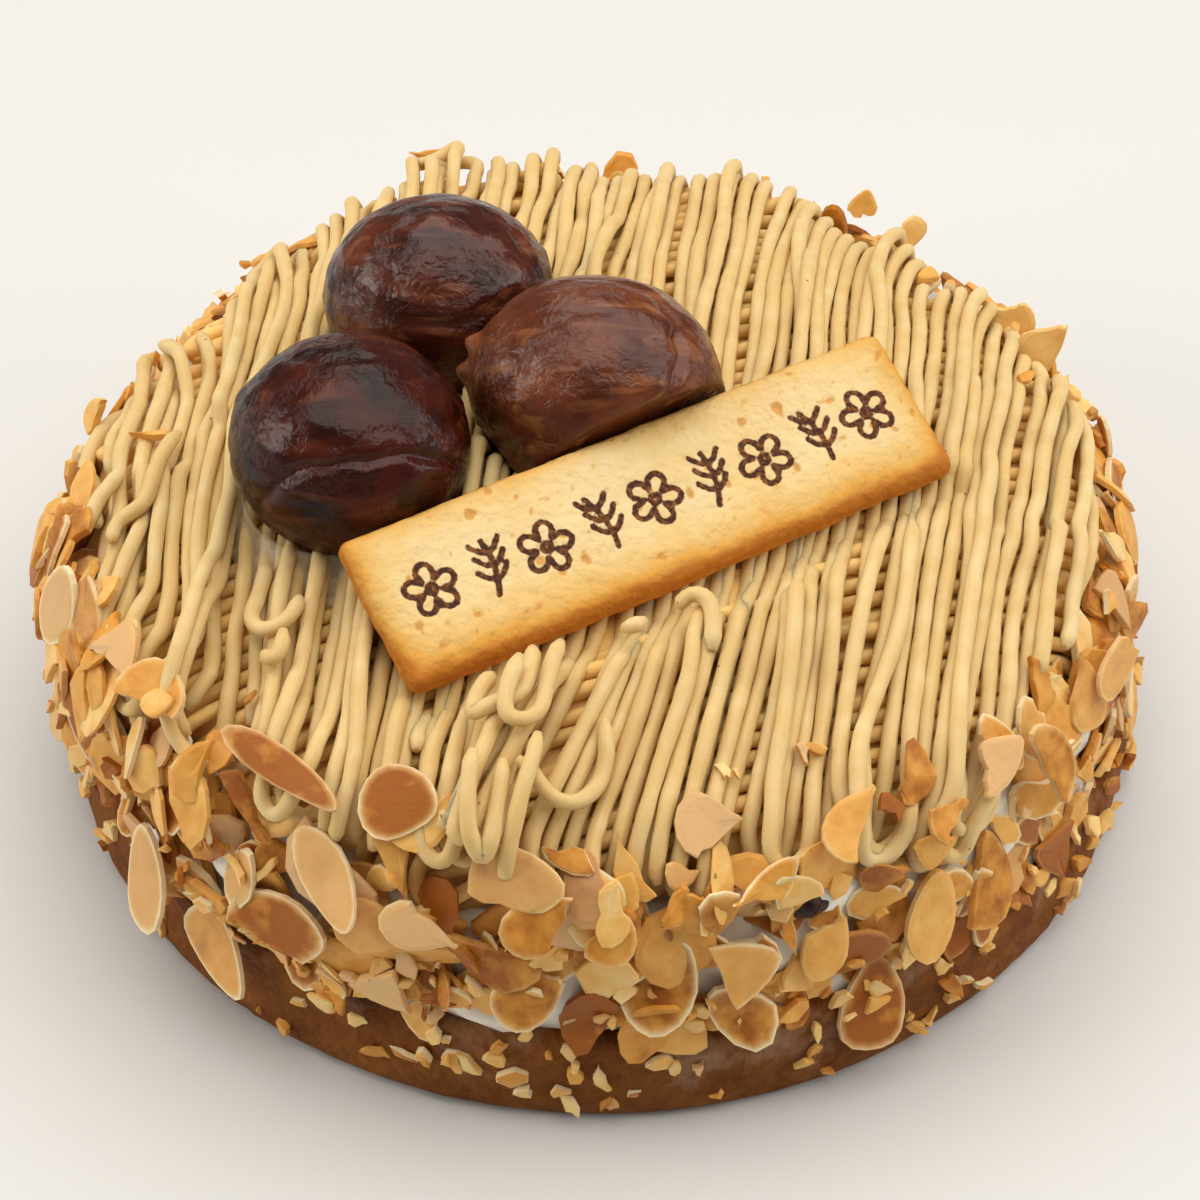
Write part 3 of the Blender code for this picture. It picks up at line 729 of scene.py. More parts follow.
# Two short bits were squeezed out in front of the biscuit and lie against its edge.
SQUEEZED = (
    ((9.3, -36.5, 53.6), (9.9, -35.2, 55.0), (11.8, -34.8, 55.6), (13.2, -35.8, 55.4),
     (13.8, -38.2, 54.6), (13.5, -43.0, 53.2)),
    ((2.2, -39.2, 53.4), (3.8, -39.6, 54.4), (5.6, -38.0, 54.0)),
)
lower_lines = [pressed(wrap(*laid.T), 2.6) for laid in lower]
upper_lines = [pressed(wrap(*laid.T), 1.1) for laid in upper] + [soft_line(p) for p in SQUEEZED]
# The lower strands wear the brighter copy of the paste, painted light that lifts their shade.
lower_strands = tubes_piece("strands_lower", lower_lines, rng, 8, 1.05, paste_brightened_for_shade)
upper_strands = tubes_piece("strands_upper", upper_lines, rng, 9, 1.06, paste)
for piece in (lower_strands, upper_strands):
    hand_in(piece, "chestnut_noodles")


# %% [markdown]
# The foot is a baked tart shell: brown, firm and a little uneven, with small pits, and dusted with
# flour in places. It is a round body, so its outline is drawn once and spun about the upright axis;
# then each point is moved in or out by a slow noise, as a crust bakes.

# %% A spun body
SAME_POINT = 1e-6


def spun(name, outline_mm, steps, material):
    """Round piece: the outline, from axis to axis, spun about the upright axis."""
    mesh = bpy.data.meshes.new(name)
    verts = [(r * MM, 0.0, z * MM) for r, z in outline_mm]
    mesh.from_pydata(verts, [(i, i + 1) for i in range(len(verts) - 1)], [])
    obj = bpy.data.objects.new(name, mesh)
    bpy.context.scene.collection.objects.link(obj)
    round_once = {"steps": steps, "angle": math.tau, "center": (0, 0, 0), "axis": (0, 0, 1)}
    edit_whole(
        obj, (bpy.ops.mesh.spin, round_once), (bpy.ops.mesh.select_all, {"action": "SELECT"}),
        (bpy.ops.mesh.remove_doubles, {"threshold": SAME_POINT}),
        (bpy.ops.mesh.normals_make_consistent, {"inside": False}),
    )
    bpy.ops.object.shade_smooth()
    obj.data.materials.append(material)
    return obj


def of_each_point(obj, key):
    values = np.empty(len(obj.data.vertices) * 3, np.float32)
    obj.data.vertices.foreach_get(key, values)
    return values.reshape(-1, 3).astype(np.float64)


def points_of(obj):
    return of_each_point(obj, "co") / MM


def normals_of(obj):
    return of_each_point(obj, "normal")


def set_points(obj, points_mm):
    obj.data.vertices.foreach_set("co", (points_mm * MM).astype(np.float32).ravel())
    obj.data.update()


def outward_at(points):
    """Level direction away from the cake's middle at each point."""
    return unit(np.column_stack([points[:, :2], np.zeros(len(points))]))


def noise_at(points, scale, seed=0.0):
    """Smooth noise in the range from -1 to 1, with features of 1 / scale millimetres."""
    shift = Vector((seed, 2.3 * seed, -seed))
    return np.array([noise.noise(Vector(p) * scale + shift) for p in points])


def bumps(points, layers):
    """Sum of noises, each given as its height, scale and seed."""
    return sum(height * noise_at(points, scale, seed) for height, scale, seed in layers)


def fine_line(outline_mm, step):
    """The outline with points added every so many millimetres."""
    dense = [outline_mm[0]]
    for a, b in zip(outline_mm, outline_mm[1:]):
        count = max(1, int(math.dist(a, b) / step))
        for i in range(1, count + 1):
            dense.append(tuple(a[k] + (b[k] - a[k]) * i / count for k in (0, 1)))
    return dense


print("spun bodies ready")

# %% Material: tart crust


def make_crust():
    material, tree, shader = new_surface(
        "baked_tart_crust", Roughness=0.75, IOR=1.45, Specular_IOR_Level=0.15
    )
    place = add_node(tree, "TexCoord").outputs["Object"]
    cloud = add_node(
        tree, "TexNoise", {"Vector": place, "Scale": 120.0, "Detail": 8.0, "Roughness": 0.72}
    )
    brown = add_node(tree, "ValToRGB", {"Fac": cloud}, ((0.32, "#66350f"), (0.72, "#965c28")))
    dust = add_node(
        tree, "TexNoise", {"Vector": place, "Scale": 75.0, "Detail": 6.0, "Roughness": 0.65}
    )
    height = add_node(tree, "SeparateXYZ", {"Vector": place}).outputs["Z"]
    # Flour settled on the upper part, so the height is added to the cloud of dust.
    dustier = add_node(tree, "Math", {0: height, 1: 11.0, 2: dust}, operation="MULTIPLY_ADD")
    dusted = add_node(
        tree, "MapRange", {"Value": dustier, "From Min": 0.66, "From Max": 0.88, "To Max": 0.6}
    )
    floury = add_node(tree, "Mix", {0: dusted, 6: brown, 7: "#bda288"}, data_type="RGBA")
    tree.links.new(floury.outputs[2], shader.inputs["Base Color"])
    pits = add_node(tree, "TexNoise", {"Vector": place, "Scale": 480.0, "Detail": 6.0})
    raise_bumps(tree, shader, pits, 0.9, 1.4)
    return material


crust = make_crust()

# %% Tart base
BASE_FOOT = [(0.0, 0.0), (66.0, 0.0), (73.0, 0.0)]
BASE_SIDE = [(73.0, 0.0), (74.2, 0.5), (74.9, 1.8), (75.1, 4.0), (75.0, 9.0), (74.8, 13.0),
             (74.3, 15.0), (73.2, 15.9), (70.0, 16.0)]
base = spun("crust_base", BASE_FOOT[:-1] + fine_line(BASE_SIDE, 0.8) + [(0.0, 16.0)], 300, crust)
points = points_of(base)
outward = outward_at(points)
free = (points[:, 2] > 0.2) & (np.hypot(points[:, 0], points[:, 1]) > 69)
relief = bumps(points, ((0.35, 0.09, 0.0), (0.22, 0.33, 4.0), (0.16, 0.9, 9.0)))
points += outward * (relief * free * np.clip(points[:, 2] / 2.0, 0, 1))[:, None]
set_points(base, points)
hand_in(base, "tart_base")

# %% [markdown]
# White whipped cream fills the space between the crust and the strands. It was spread with a
# knife, so it swells in lumps and smears down over the crust's upper edge, and it shows wherever
# the almond slices leave it free.

# %% Cream


def make_cream():
    material, tree, shader = new_surface(
        "whipped_cream", Base_Color=colour("#f3ecdf"), Roughness=0.38, IOR=1.42,
        Subsurface_Weight=0.3, Subsurface_Scale=1.5 * MM,
    )
    place = add_node(tree, "TexCoord").outputs["Object"]
    froth = add_node(tree, "TexNoise", {"Vector": place, "Scale": 600.0, "Detail": 3.0})
    raise_bumps(tree, shader, froth, 0.3, 0.5)
    return material


whipped = make_cream()

# Where the slices leave the cream bare: degrees round, height, and half the width and height.
BARE = ((-153, 20, 4.0, 3.5), (-160, 30, 3.0, 3.0), (-142, 33, 3.0, 2.5), (-130, 26, 4.0, 3.2),
        (-118, 30, 2.5, 2.2), (-102, 19, 3.5, 2.6), (-94, 21, 3.5, 2.8), (-84, 34, 3.0, 2.4),
        (-75, 25.5, 4.5, 3.2), (-67.5, 29, 2.5, 3.5), (-60, 37, 3.0, 2.6), (-45.5, 27, 3.2, 4.2),
        (-38, 38, 3.0, 3.0), (-31, 31, 3.0, 3.0), (-8, 28, 2.5, 2.5), (40, 30, 2.5, 3.0),
        (95, 27, 3.0, 2.5), (150, 29, 3.0, 2.5), (-176, 27, 3.0, 2.5))


def bareness(degrees, height):
    """From 0 to 1: how bare the cream lies at a place on the side."""
    most = np.zeros(np.broadcast(degrees, height).shape)
    for way, level, wide, high in BARE:
        away = (np.asarray(degrees) - way + 180) % 360 - 180
        most = np.maximum(most, np.exp(-((away / wide) ** 2) - ((height - level) / high) ** 2))
    return most


CREAM_SIDE = [(70.0, 16.15), (72.6, 16.3), (72.4, 18.0), (71.6, 20.0), (71.4, 26.0), (71.0, 30.5),
              (70.2, 32.6), (66.0, 34.6)]
cream_line = [(0.0, 16.15)] + fine_line(CREAM_SIDE, 0.9) + [(0.0, 42.0)]
cream = spun("cream_layer", cream_line, 300, whipped)
points = points_of(cream)
outward = outward_at(points)
free = np.hypot(points[:, 0], points[:, 1]) > 68.5
relief = bumps(points, ((0.7, 0.11, 2.0), (0.45, 0.3, 5.0), (0.15, 0.8, 7.0)))
low = np.clip((19.5 - points[:, 2]) / 3.0, 0, 1)
relief += low * np.clip(1.6 * noise_at(points * [1, 1, 0], 0.13, 11.0), 0, 1.4)
points += outward * (relief * free)[:, None]
turn = np.degrees(np.arctan2(points[:, 1], points[:, 0]))
points += outward * (2.0 * bareness(turn, points[:, 2]) * free)[:, None]
# One dab of cream stands up between the slices in front, a little to the right.
dab = np.exp(-(((turn + 68.5) / 6.0) ** 2)) * (points[:, 2] > 31.5) * free
points[:, 2] += 4.2 * dab
points += outward * (1.2 * dab)[:, None]
set_points(cream, points)
hand_in(cream, "cream")

# %% [markdown]
# Under the strands the paste is pressed together into a thick bed. Only its dark gaps between the
# strands can be seen, so it is one more spun body, that follows the line the strands lie on.

# %% Bed of pressed paste
rim_line = [(r, z) for r, z in zip(BED_RADIUS[::12], BED_HEIGHT[::12]) if z > 34.0]
# The bed wears the brighter copy of the paste too, painted light that lifts the shade in its gaps.
bed = spun("paste_bed", rim_line + [(60.0, 34.2), (0.0, 43.0)], 120, paste_brightened_for_shade)
points = points_of(bed)
out = np.hypot(points[:, 0], points[:, 1])
points[:, :2] *= rim_stretch(np.arctan2(points[:, 1], points[:, 0]), out)[:, None]
set_points(bed, points)
hand_in(bed, "chestnut_noodles")

# %% [markdown]
# Browned almond slices cover the cream. Each one is a thin cut through an almond: a pointed oval
# about 15 mm long and 1 mm thick, with a pale rim and a toasted middle. Most are broken, with
# pale straight breaks. They were pressed on by hand, so they overlap like shingles gone wrong.
# They are laid one by one on a field of heights, as the strands were, but on the unrolled side.

# %% The unrolled side
SIDE_LINE = np.array([(75.3, 3.0), (75.2, 9.0), (74.9, 13.0), (74.2, 15.4), (73.0, 17.2),
                      (72.0, 20.0), (71.7, 28.0), (71.3, 32.5), (70.9, 35.0), (70.0, 38.0),
                      (68.6, 40.4), (66.6, 42.4), (64.0, 44.0), (60.0, 45.8), (55.0, 47.4)])
SIDE_REACH, SIDE_RADIUS, SIDE_HEIGHT = rounded_line(SIDE_LINE, 6.0)
SIDE_LEAN = smoothed(np.arctan2(-np.gradient(SIDE_RADIUS), np.gradient(SIDE_HEIGHT)), 8.0)
# The side is unrolled at this radius, and reaches in to another one on the top.
AROUND, INNERMOST = 72.0, 56
SIDE_CELL = 0.4
SIDE_COLUMNS = int(math.tau * AROUND / SIDE_CELL)
SIDE_ROWS = int(SIDE_REACH[-1] / SIDE_CELL)


def level_of(height):
    """Distance up the side at which it has this height."""
    return float(np.interp(height, SIDE_HEIGHT, SIDE_REACH))


def off_side(turned_mm, up, above):
    """Real place of a point this far round the side, up it and off it."""
    angle = turned_mm / AROUND
    lean, radius, height = (
        np.interp(up, SIDE_REACH, line) for line in (SIDE_LEAN, SIDE_RADIUS, SIDE_HEIGHT)
    )
    radius, height = radius + np.cos(lean) * above, height + np.sin(lean) * above
    return np.stack([radius * np.cos(angle), radius * np.sin(angle), height], axis=-1)


def on_side(points):
    """Row and column of the field under each real place, and how far it is above the side."""
    out = np.hypot(points[:, 0], points[:, 1])
    # Every fourth place of the line is near enough.
    gap = (out[:, None] - SIDE_RADIUS[None, ::4]) ** 2
    gap += (points[:, 2:] - SIDE_HEIGHT[None, ::4]) ** 2
    best = gap.argmin(axis=1) * 4
    lean = SIDE_LEAN[best]
    above = (out - SIDE_RADIUS[best]) * np.cos(lean)
    above += (points[:, 2] - SIDE_HEIGHT[best]) * np.sin(lean)
    column = np.rint(np.arctan2(points[:, 1], points[:, 0]) * AROUND / SIDE_CELL).astype(int)
    row = np.rint(SIDE_REACH[best] / SIDE_CELL).astype(int)
    return np.clip(row, 0, SIDE_ROWS - 1), column % SIDE_COLUMNS, above


def stamp_points(field, points, radius):
    """Adds balls at these real places to the field of the side."""
    row, column, above = on_side(points[np.hypot(points[:, 0], points[:, 1]) > INNERMOST])
    for i, j, lift in ball_offsets(radius, SIDE_CELL):
        rows = np.clip(row + j, 0, SIDE_ROWS - 1)
        np.maximum.at(field, (rows, (column + i) % SIDE_COLUMNS), above + lift)


# Cream lies just inside the line up to 33.5 mm. Over that the strands' hem stands free of it.
side_field = np.full((SIDE_ROWS, SIDE_COLUMNS), -0.2)
side_field[int(level_of(33.5) / SIDE_CELL):] = -2.5
ways, levels = np.meshgrid(
    np.degrees(np.arange(SIDE_COLUMNS) * SIDE_CELL / AROUND),
    np.interp(np.arange(SIDE_ROWS) * SIDE_CELL, SIDE_REACH, SIDE_HEIGHT),
)
side_field += 2.0 * bareness(ways, levels)
for layer in (lower_strands, upper_strands):
    stamp_points(side_field, points_of(layer)[::3], 0.9)
print("side of", side_field.shape, "cells; strands rise", round(float(side_field.max()), 1), "mm")

# %% One almond slice


def slice_outline(rng, long, wide, sides, broken):
    """Outline of a slice: a pointed oval, cut by straight breaks if it is a broken one."""
    angle = np.linspace(0, math.tau, sides, endpoint=False) + rng.uniform(0, 0.3)
    x, y = np.cos(angle), np.sin(angle)
    y = y * (1 - 0.28 * x) * wide
    x = x * long
    x *= 1 + 0.05 * np.sin(3 * angle + rng.uniform(0, 6))
    y *= 1 + 0.06 * np.sin(2 * angle + rng.uniform(0, 6))
    pale = np.zeros(sides)
    for _ in range(broken):
        way = rng.uniform(0, math.tau)
        nx, ny = math.cos(way), math.sin(way)
        limit = rng.uniform(0.05, 0.6) * math.hypot(nx * long, ny * wide)
        beyond = x * nx + y * ny - limit
        cut = beyond > 0
        jag = rng.uniform(-0.35, 0.35, sides)
        x = np.where(cut, x - nx * (beyond + jag * cut), x)
        y = np.where(cut, y - ny * (beyond + jag * cut), y)
        pale = np.where(cut, 1.0, pale)
    return np.column_stack([x, y]), pale


# Rings of a slice from its upper face to its lower one: share of its size, height, rim value.
SLICE_RINGS = ((0.80, 0.5, 0.55), (1.0, 0.34, 0.0), (1.0, -0.34, 0.0), (0.84, -0.5, 0.5))


def slice_mesh(outline, pale, thick, curl, twist):
    """Points, faces and rim values of a slice that lies flat, with its middle at the origin."""
    n = len(outline)
    middle = outline.mean(axis=0)
    rings = []
    rims = []
    for share, level, rim in SLICE_RINGS:
        inset = middle + (outline - middle) * share
        if share < 1:
            inset = np.where(pale[:, None] > 0.5, middle + (outline - middle) * 0.95, inset)
        rings.append(np.column_stack([inset, np.full(n, level * thick)]))
        rims.append(np.full(n, rim))
    points = np.concatenate(rings + [[[*middle, 0.52 * thick]], [[*middle, -0.52 * thick]]])
    rim = np.concatenate(rims + [[1.0, 1.0]])
    reach_x = np.abs(outline[:, 0]).max() + 1e-6
    bend = (points[:, 0] / reach_x) ** 2 * curl + points[:, 0] * points[:, 1] / reach_x * twist
    points[:, 2] += bend
    index = np.arange(4 * n).reshape(4, n)
    nxt = np.roll(index, -1, axis=1)
    quads = np.concatenate([
        np.stack([index[k + 1], nxt[k + 1], nxt[k], index[k]], axis=-1) for k in range(3)
    ])
    top = np.stack([index[0], nxt[0], np.full(n, 4 * n)], axis=-1)
    bottom = np.stack([nxt[3], index[3], np.full(n, 4 * n + 1)], axis=-1)
    return points, quads, np.concatenate([top, bottom]), rim


print("slice outline:", len(slice_outline(np.random.default_rng(1), 7, 4, 14, 1)[0]), "points")

# %% Laying slices on the side


class Heap:
    """Slices gathered for one mesh."""

    def __init__(self):
        self.parts, self.count = [], 0

    def add(self, points, quads, tips, rim, look):
        tone, skin, rimless = look
        rim = 1 - (1 - rim) * (1 - rimless)
        shade = [np.full(len(points), value) for value in (tone, skin)]
        self.parts.append((points, quads + self.count, tips + self.count, rim, *shade))
        self.count += len(points)

    def piece(self, name, material):
        points, quads, tips, rim, tone, skin = (np.concatenate(p) for p in zip(*self.parts))
        return mesh_piece(name, points, [quads, tips], material, smooth=False,
                          attributes={"rim": rim, "tone": tone, "skin": skin})


# Slices stay this far inside the box of the solids.
MARGIN = 0.15
LOW = np.array(cad_box[0]) / MM + MARGIN
HIGH = np.array(cad_box[1]) / MM - MARGIN


# Place, way it faces, how far that way points up, turn, size, tone, skin, rimless, breaks, curl.
FINE_SLICES = (
    (34.4, -67.5, 14.5, -63, 25, 80, 6.6, 4.6, 0.80, 0.0, 0.15, 0, 0.5),
    (-39.6, -63.6, 25.5, -122, 20, 25, 7.6, 5.6, 0.75, 0.0, 0.1, 1, 0.8),
    (-36.9, -55.6, 44.6, -126, 58, -5, 9.4, 2.3, 0.80, 0.0, 0.2, 0, 0.9),
    (-23.2, -60.2, 44.4, -111, 58, 15, 4.9, 4.6, 0.85, 0.0, 0.1, 0, 0.4),
    (-20.2, -60.8, 43.2, -108, 50, 60, 4.6, 3.6, 0.10, 0.0, 0.6, 1, 0.3),
    (13.2, -62.6, 44.2, -78, 52, 20, 4.9, 4.2, 0.45, 0.9, 0.5, 2, 0.4),
    (-53.2, -44.0, 43.6, -141, 56, 20, 5.4, 4.8, 0.50, 0.0, 0.2, 1, 0.5),
    (-52.2, -45.6, 44.8, -138, 60, 70, 2.4, 1.8, 0.10, 0.0, 0.5, 1, 0.2),
    (-66.0, -22.4, 41.6, -145, 22, 88, 6.0, 3.6, 0.35, 0.9, 0.0, 0, 0.5),
    (-63.2, -24.6, 42.0, -130, 35, 118, 5.0, 2.4, 0.55, 0.3, 0.1, 1, 0.4),
    (-58.5, -35.5, 43.2, -149, 55, 10, 4.6, 3.8, 0.45, 0.8, 0.3, 2, 0.4),
    (62.4, 27.0, 43.4, -112, 14, 70, 7.6, 3.0, -0.10, 0.0, 0.3, 1, 0.7),
    (58.6, 32.4, 42.6, -100, 20, 95, 3.8, 3.0, 0.00, 0.0, 0.6, 1, 0.3),
    (-25.0, 67.0, 44.4, -85, 30, 165, 4.2, 1.6, 0.35, 0.0, 0.6, 1, 0.6),
    (38.4, 54.4, 43.2, -95, 20, 80, 3.2, 2.2, 0.10, 0.0, 0.4, 2, 0.5),
    (43.6, 50.4, 43.2, -80, 25, 15, 4.0, 2.8, -0.10, 0.0, 0.5, 1, 0.6),
    (-69.2, 11.6, 42.4, -150, 25, 70, 3.2, 2.4, 0.10, 0.0, 0.8, 1, 0.2),
    (-9.8, -67.4, 40.6, -97, 36, 0, 5.8, 4.8, 0.50, 0.5, 0.2, 1, 0.5),
    (-6.6, -69.8, 37.0, -92, 30, 25, 5.4, 3.6, 0.60, 0.0, 0.2, 1, 0.5),
    (0.8, -70.6, 39.4, -85, 34, 60, 4.4, 3.2, 0.00, 0.0, 0.9, 2, 0.2),
    (1.0, -71.2, 35.6, -95, 30, 100, 4.4, 3.2, 0.45, 0.0, 0.2, 1, 0.3),
    (8.0, -70.0, 38.8, -75, 40, 5, 4.2, 2.4, 0.60, 0.0, 0.4, 2, 0.3),
    (18.8, -69.0, 38.8, -70, 42, 42, 5.8, 2.6, 0.45, 0.0, 0.1, 1, 0.6),
    (29.0, -62.0, 42.6, -62, 55, 30, 5.2, 3.2, 0.30, 0.0, 0.3, 1, 0.4),
    (34.6, -60.2, 43.0, -55, 50, 90, 2.8, 1.8, 0.85, 0.0, 0.6, 2, 0.2),
    (41.5, -58.8, 41.6, -52, 48, 70, 4.2, 3.2, 0.55, 0.0, 0.3, 2, 0.4),
    (47.0, -51.4, 41.8, -48, 50, 5, 5.2, 3.2, 0.50, 0.8, 0.2, 1, 0.4),
    (54.6, -48.6, 39.0, -45, 25, 88, 6.2, 4.4, 0.60, 0.0, 0.2, 1, 0.5),
    (61.4, -36.6, 38.8, -35, 25, 95, 5.4, 3.8, 0.45, 0.2, 0.3, 1, 0.4),
    (65.6, -30.6, 39.4, -50, 35, 28, 6.4, 2.2, 0.50, 0.4, 0.2, 1, 0.5),
    (48.4, -57.4, 26.5, -49, 25, 78, 6.8, 4.7, 0.60, 0.0, 0.4, 1, 0.5),
    (40.8, -63.0, 27.5, -58, 18, 76, 6.6, 3.4, 0.20, 0.0, 0.3, 0, 0.6),
    (7.6, -74.6, 26.4, -104, 22, 74, 7.2, 4.2, 0.70, 0.0, 0.0, 0, 1.6),
    (15.2, -73.2, 28.6, -78, 28, 18, 6.4, 4.6, 0.35, 0.2, 0.1, 1, 0.5),
    (-8.4, -73.6, 26.0, -96, 20, 52, 6.0, 3.8, 0.65, 0.0, 0.1, 1, 0.6),
    (-27.0, -69.6, 32.6, -111, 28, -10, 5.6, 3.5, 0.45, 0.4, 0.3, 1, 0.5),
    (-20.2, -70.2, 35.6, -106, 35, 10, 5.8, 3.2, 0.50, 0.9, 0.2, 2, 0.4),
    (-48.0, -58.4, 14.6, -130, 30, -32, 6.8, 3.4, 0.50, 0.3, 0.0, 0, 0.6),
    (-56.6, -50.6, 20.0, -139, 22, 112, 7.4, 3.6, 0.50, 0.6, 0.0, 0, 0.6),
    (-31.6, -64.6, 36.6, -118, 40, -45, 7.0, 3.0, 0.45, 0.6, 0.1, 0, 0.8),
    (28.0, -70.2, 30.0, -66, 15, 78, 5.6, 3.2, 0.30, 0.0, 0.3, 1, 0.4),
)


def set_slice(field, rng, setting, heap_of):
    """Puts one slice at a real place, facing a given way, and marks it on the field."""
    x, y, z, facing, rise, turn, long, wide, tone, skin, rimless, breaks, curl = setting
    tone *= 0.85  # They were all toasted a little less than the table has it.
    outline, pale = slice_outline(rng, long, wide, 18, breaks)
    flat, quads, tips, rim = slice_mesh(outline, pale, 1.1, curl, 0.03)
    facing, rise, turn = (math.radians(a) for a in (facing, rise, turn))
    level, lifted = math.cos(rise), math.sin(rise)
    normal = Vector((math.cos(facing) * level, math.sin(facing) * level, lifted))
    side = Vector((0, 0, 1)).cross(normal).normalized()
    axes = Matrix((side, normal.cross(side), normal)).transposed()
    axes = axes @ Matrix.Rotation(turn, 3, "Z")
    real = flat @ np.array(axes).T + (x, y, z)
    # It is moved in or out along the way it faces until it rests on what is there.
    row, column, above = on_side(real)
    sunk = np.quantile(field[row, column] - above, 0.93) - 0.2
    real = real + np.array(normal) * np.clip(sunk, -2.5, 5.0)
    out = np.clip(real, LOW, HIGH)
    real = real - (real - out)[np.abs(real - out).sum(axis=1).argmax()]
    heap_of.add(real, quads, tips, rim, (tone, skin, rimless))
    stamp_points(field, real, 1.4)


def look_of(rng, mean_tone):
    """How dark a slice was toasted, whether its skin side shows, and how much it lacks a rim."""
    tone = float(np.clip(rng.normal(mean_tone, 0.25), -0.1, 1.0))
    skin = float(rng.random() < 0.12) * rng.uniform(0.4, 1.0)
    return tone, skin, float(rng.choice([0.0, 0.4, 0.8], p=[0.25, 0.35, 0.4]))


# How far slices may stand off at each angle: little on the right and behind, more on the left.
STAND_OFF_WAY = (-180, -150, -100, -60, 0, 40, 60, 160, 175, 180)
STAND_OFF = (5.4, 5.4, 4.4, 3.2, 1.5, 1.5, 1.8, 1.8, 3.5, 5.4)


def stand_off(round_mm):
    way = (math.degrees(round_mm / AROUND) + 180) % 360 - 180
    return np.interp(way, STAND_OFF_WAY, STAND_OFF)


def lay_slice(field, rng, round_mm, up, shape, thickness, mean_tone, heap_of, more=0.0, sunk=0.35,
              tilt=0.0):
    """Rests a slice on the field at a place on the side and adds it there.

    A slice with a tilt is stuck in aslant instead. One that would stand off too far is left out.
    """
    outline, pale = shape
    turn, thick = rng.uniform(0, math.tau), rng.uniform(*thickness)
    look = look_of(rng, mean_tone)
    c, s = math.cos(turn), math.sin(turn)
    flat = outline @ np.array([[c, s], [-s, c]])
    low, high = flat.min(axis=0), flat.max(axis=0)
    columns = np.arange(math.floor(low[0] / SIDE_CELL), math.ceil(high[0] / SIDE_CELL) + 1)
    rows = np.arange(math.floor(low[1] / SIDE_CELL), math.ceil(high[1] / SIDE_CELL) + 1)
    gx, gy = np.meshgrid(columns * SIDE_CELL, rows * SIDE_CELL)
    inside = np.zeros(gx.shape, bool)
    for (ax, ay), (bx, by) in zip(flat, np.roll(flat, -1, axis=0)):
        crosses = (ay > gy) != (by > gy)
        inside ^= crosses & (gx < (bx - ax) * (gy - ay) / (by - ay + 1e-12) + ax)
    if inside.sum() < 3:
        return False
    i = int(round(round_mm / SIDE_CELL)) + np.rint(gx[inside] / SIDE_CELL).astype(int)
    i %= SIDE_COLUMNS
    j = int(round(up / SIDE_CELL)) + np.rint(gy[inside] / SIDE_CELL).astype(int)
    if j.min() < 0 or j.max() >= SIDE_ROWS:
        return False
    height = np.interp(up, SIDE_REACH, SIDE_HEIGHT)
    if rng.random() < 1.8 * bareness(math.degrees(round_mm / AROUND), height):
        return False
    there = field[j, i]
    x, y = gx[inside], gy[inside]
    fit = np.linalg.lstsq(np.column_stack([x, y, np.ones(len(x))]), there, rcond=None)[0]
    steepest = 0.75
    slope = math.hypot(fit[0], fit[1])
    if slope > steepest:
        fit[:2] *= steepest / slope
    plane = x * fit[0] + y * fit[1]
    rest = np.quantile(there - plane, 0.94) - sunk
    if tilt:
        way = rng.uniform(0, math.tau)
        steep = tilt * rng.uniform(0.3, 1.0)
        fit[:2] = fit[:2] * 0.5 + (steep * math.cos(way), steep * math.sin(way))
        plane = x * fit[0] + y * fit[1]
        rest = np.quantile(there - plane, 0.72) - sunk
    if rest + 0.5 * np.hypot(*(fit[:2] * (high - low))) + thick > stand_off(round_mm) + more:
        return False
    curl, twist = rng.uniform(-0.5, 0.7), rng.uniform(-0.06, 0.06)
    points, quads, tips, rim = slice_mesh(outline, pale, thick, curl, twist)
    px = points[:, 0] * c - points[:, 1] * s
    py = points[:, 0] * s + points[:, 1] * c
    above = points[:, 2] + px * fit[0] + py * fit[1] + rest + thick / 2
    real = off_side(round_mm + px, up + py, above)
    if (real < LOW).any() or (real > HIGH).any():
        return False
    heap_of.add(real, quads, tips, rim, look)
    field[j, i] = np.maximum(field[j, i], plane + rest + thick)
    return True


rng = np.random.default_rng(5)
slices = Heap()
made = 0
for _ in range(1500):
    height = rng.choice([rng.uniform(15.5, 42.5), rng.uniform(17.0, 35.0)])
    long = float(rng.choice([rng.uniform(4.4, 7.6), rng.uniform(2.4, 4.6)]))
    wide = long * rng.uniform(0.52, 0.76)
    shape = slice_outline(rng, long, wide, 12, int(rng.choice([0, 1, 1, 2, 2])))
    aslant = float(rng.choice([0.0, 0.6, 1.3], p=[0.4, 0.35, 0.25]))
    around = rng.uniform(0, math.tau)
    made += lay_slice(
        side_field, rng, around * AROUND, level_of(height), shape, (0.8, 1.2), 0.38, slices,
        more=-1.5 if height > 37 and math.sin(around) > 0.3 else 0.0, tilt=aslant,
    )
# One more round each: on the strands' hem in front and on the left, and flat pieces on the right.
for ways, levels, sizes, more, tilt, tries in (
    ((-178, -8), (34, 43), (3.2, 6.0), 1.2, 0.4, 120),
    ((-178, -120), (33, 42), (3.0, 5.5), 2.2, 0.6, 90),
    ((-25, 175), (17, 36), (2.6, 5.6), 0.7, 0.0, 520),
):
    for _ in range(tries):
        way = rng.uniform(*ways)
        long = rng.uniform(*sizes)
        wide = long * rng.uniform(0.55, 0.8)
        shape = slice_outline(rng, long, wide, 12, int(rng.choice([1, 2])))
        if -132 < way < -103:
            continue
        made += lay_slice(
            side_field, rng, math.radians(way) * AROUND, level_of(rng.uniform(*levels)), shape,
            (0.8, 1.2), 0.3, slices, more=more, tilt=tilt,
        )
print("slices:", made)
for setting in FINE_SLICES:
    set_slice(side_field, rng, setting, slices)
print("slices set one by one:", len(FINE_SLICES))
crumbs = Heap()
made = 0
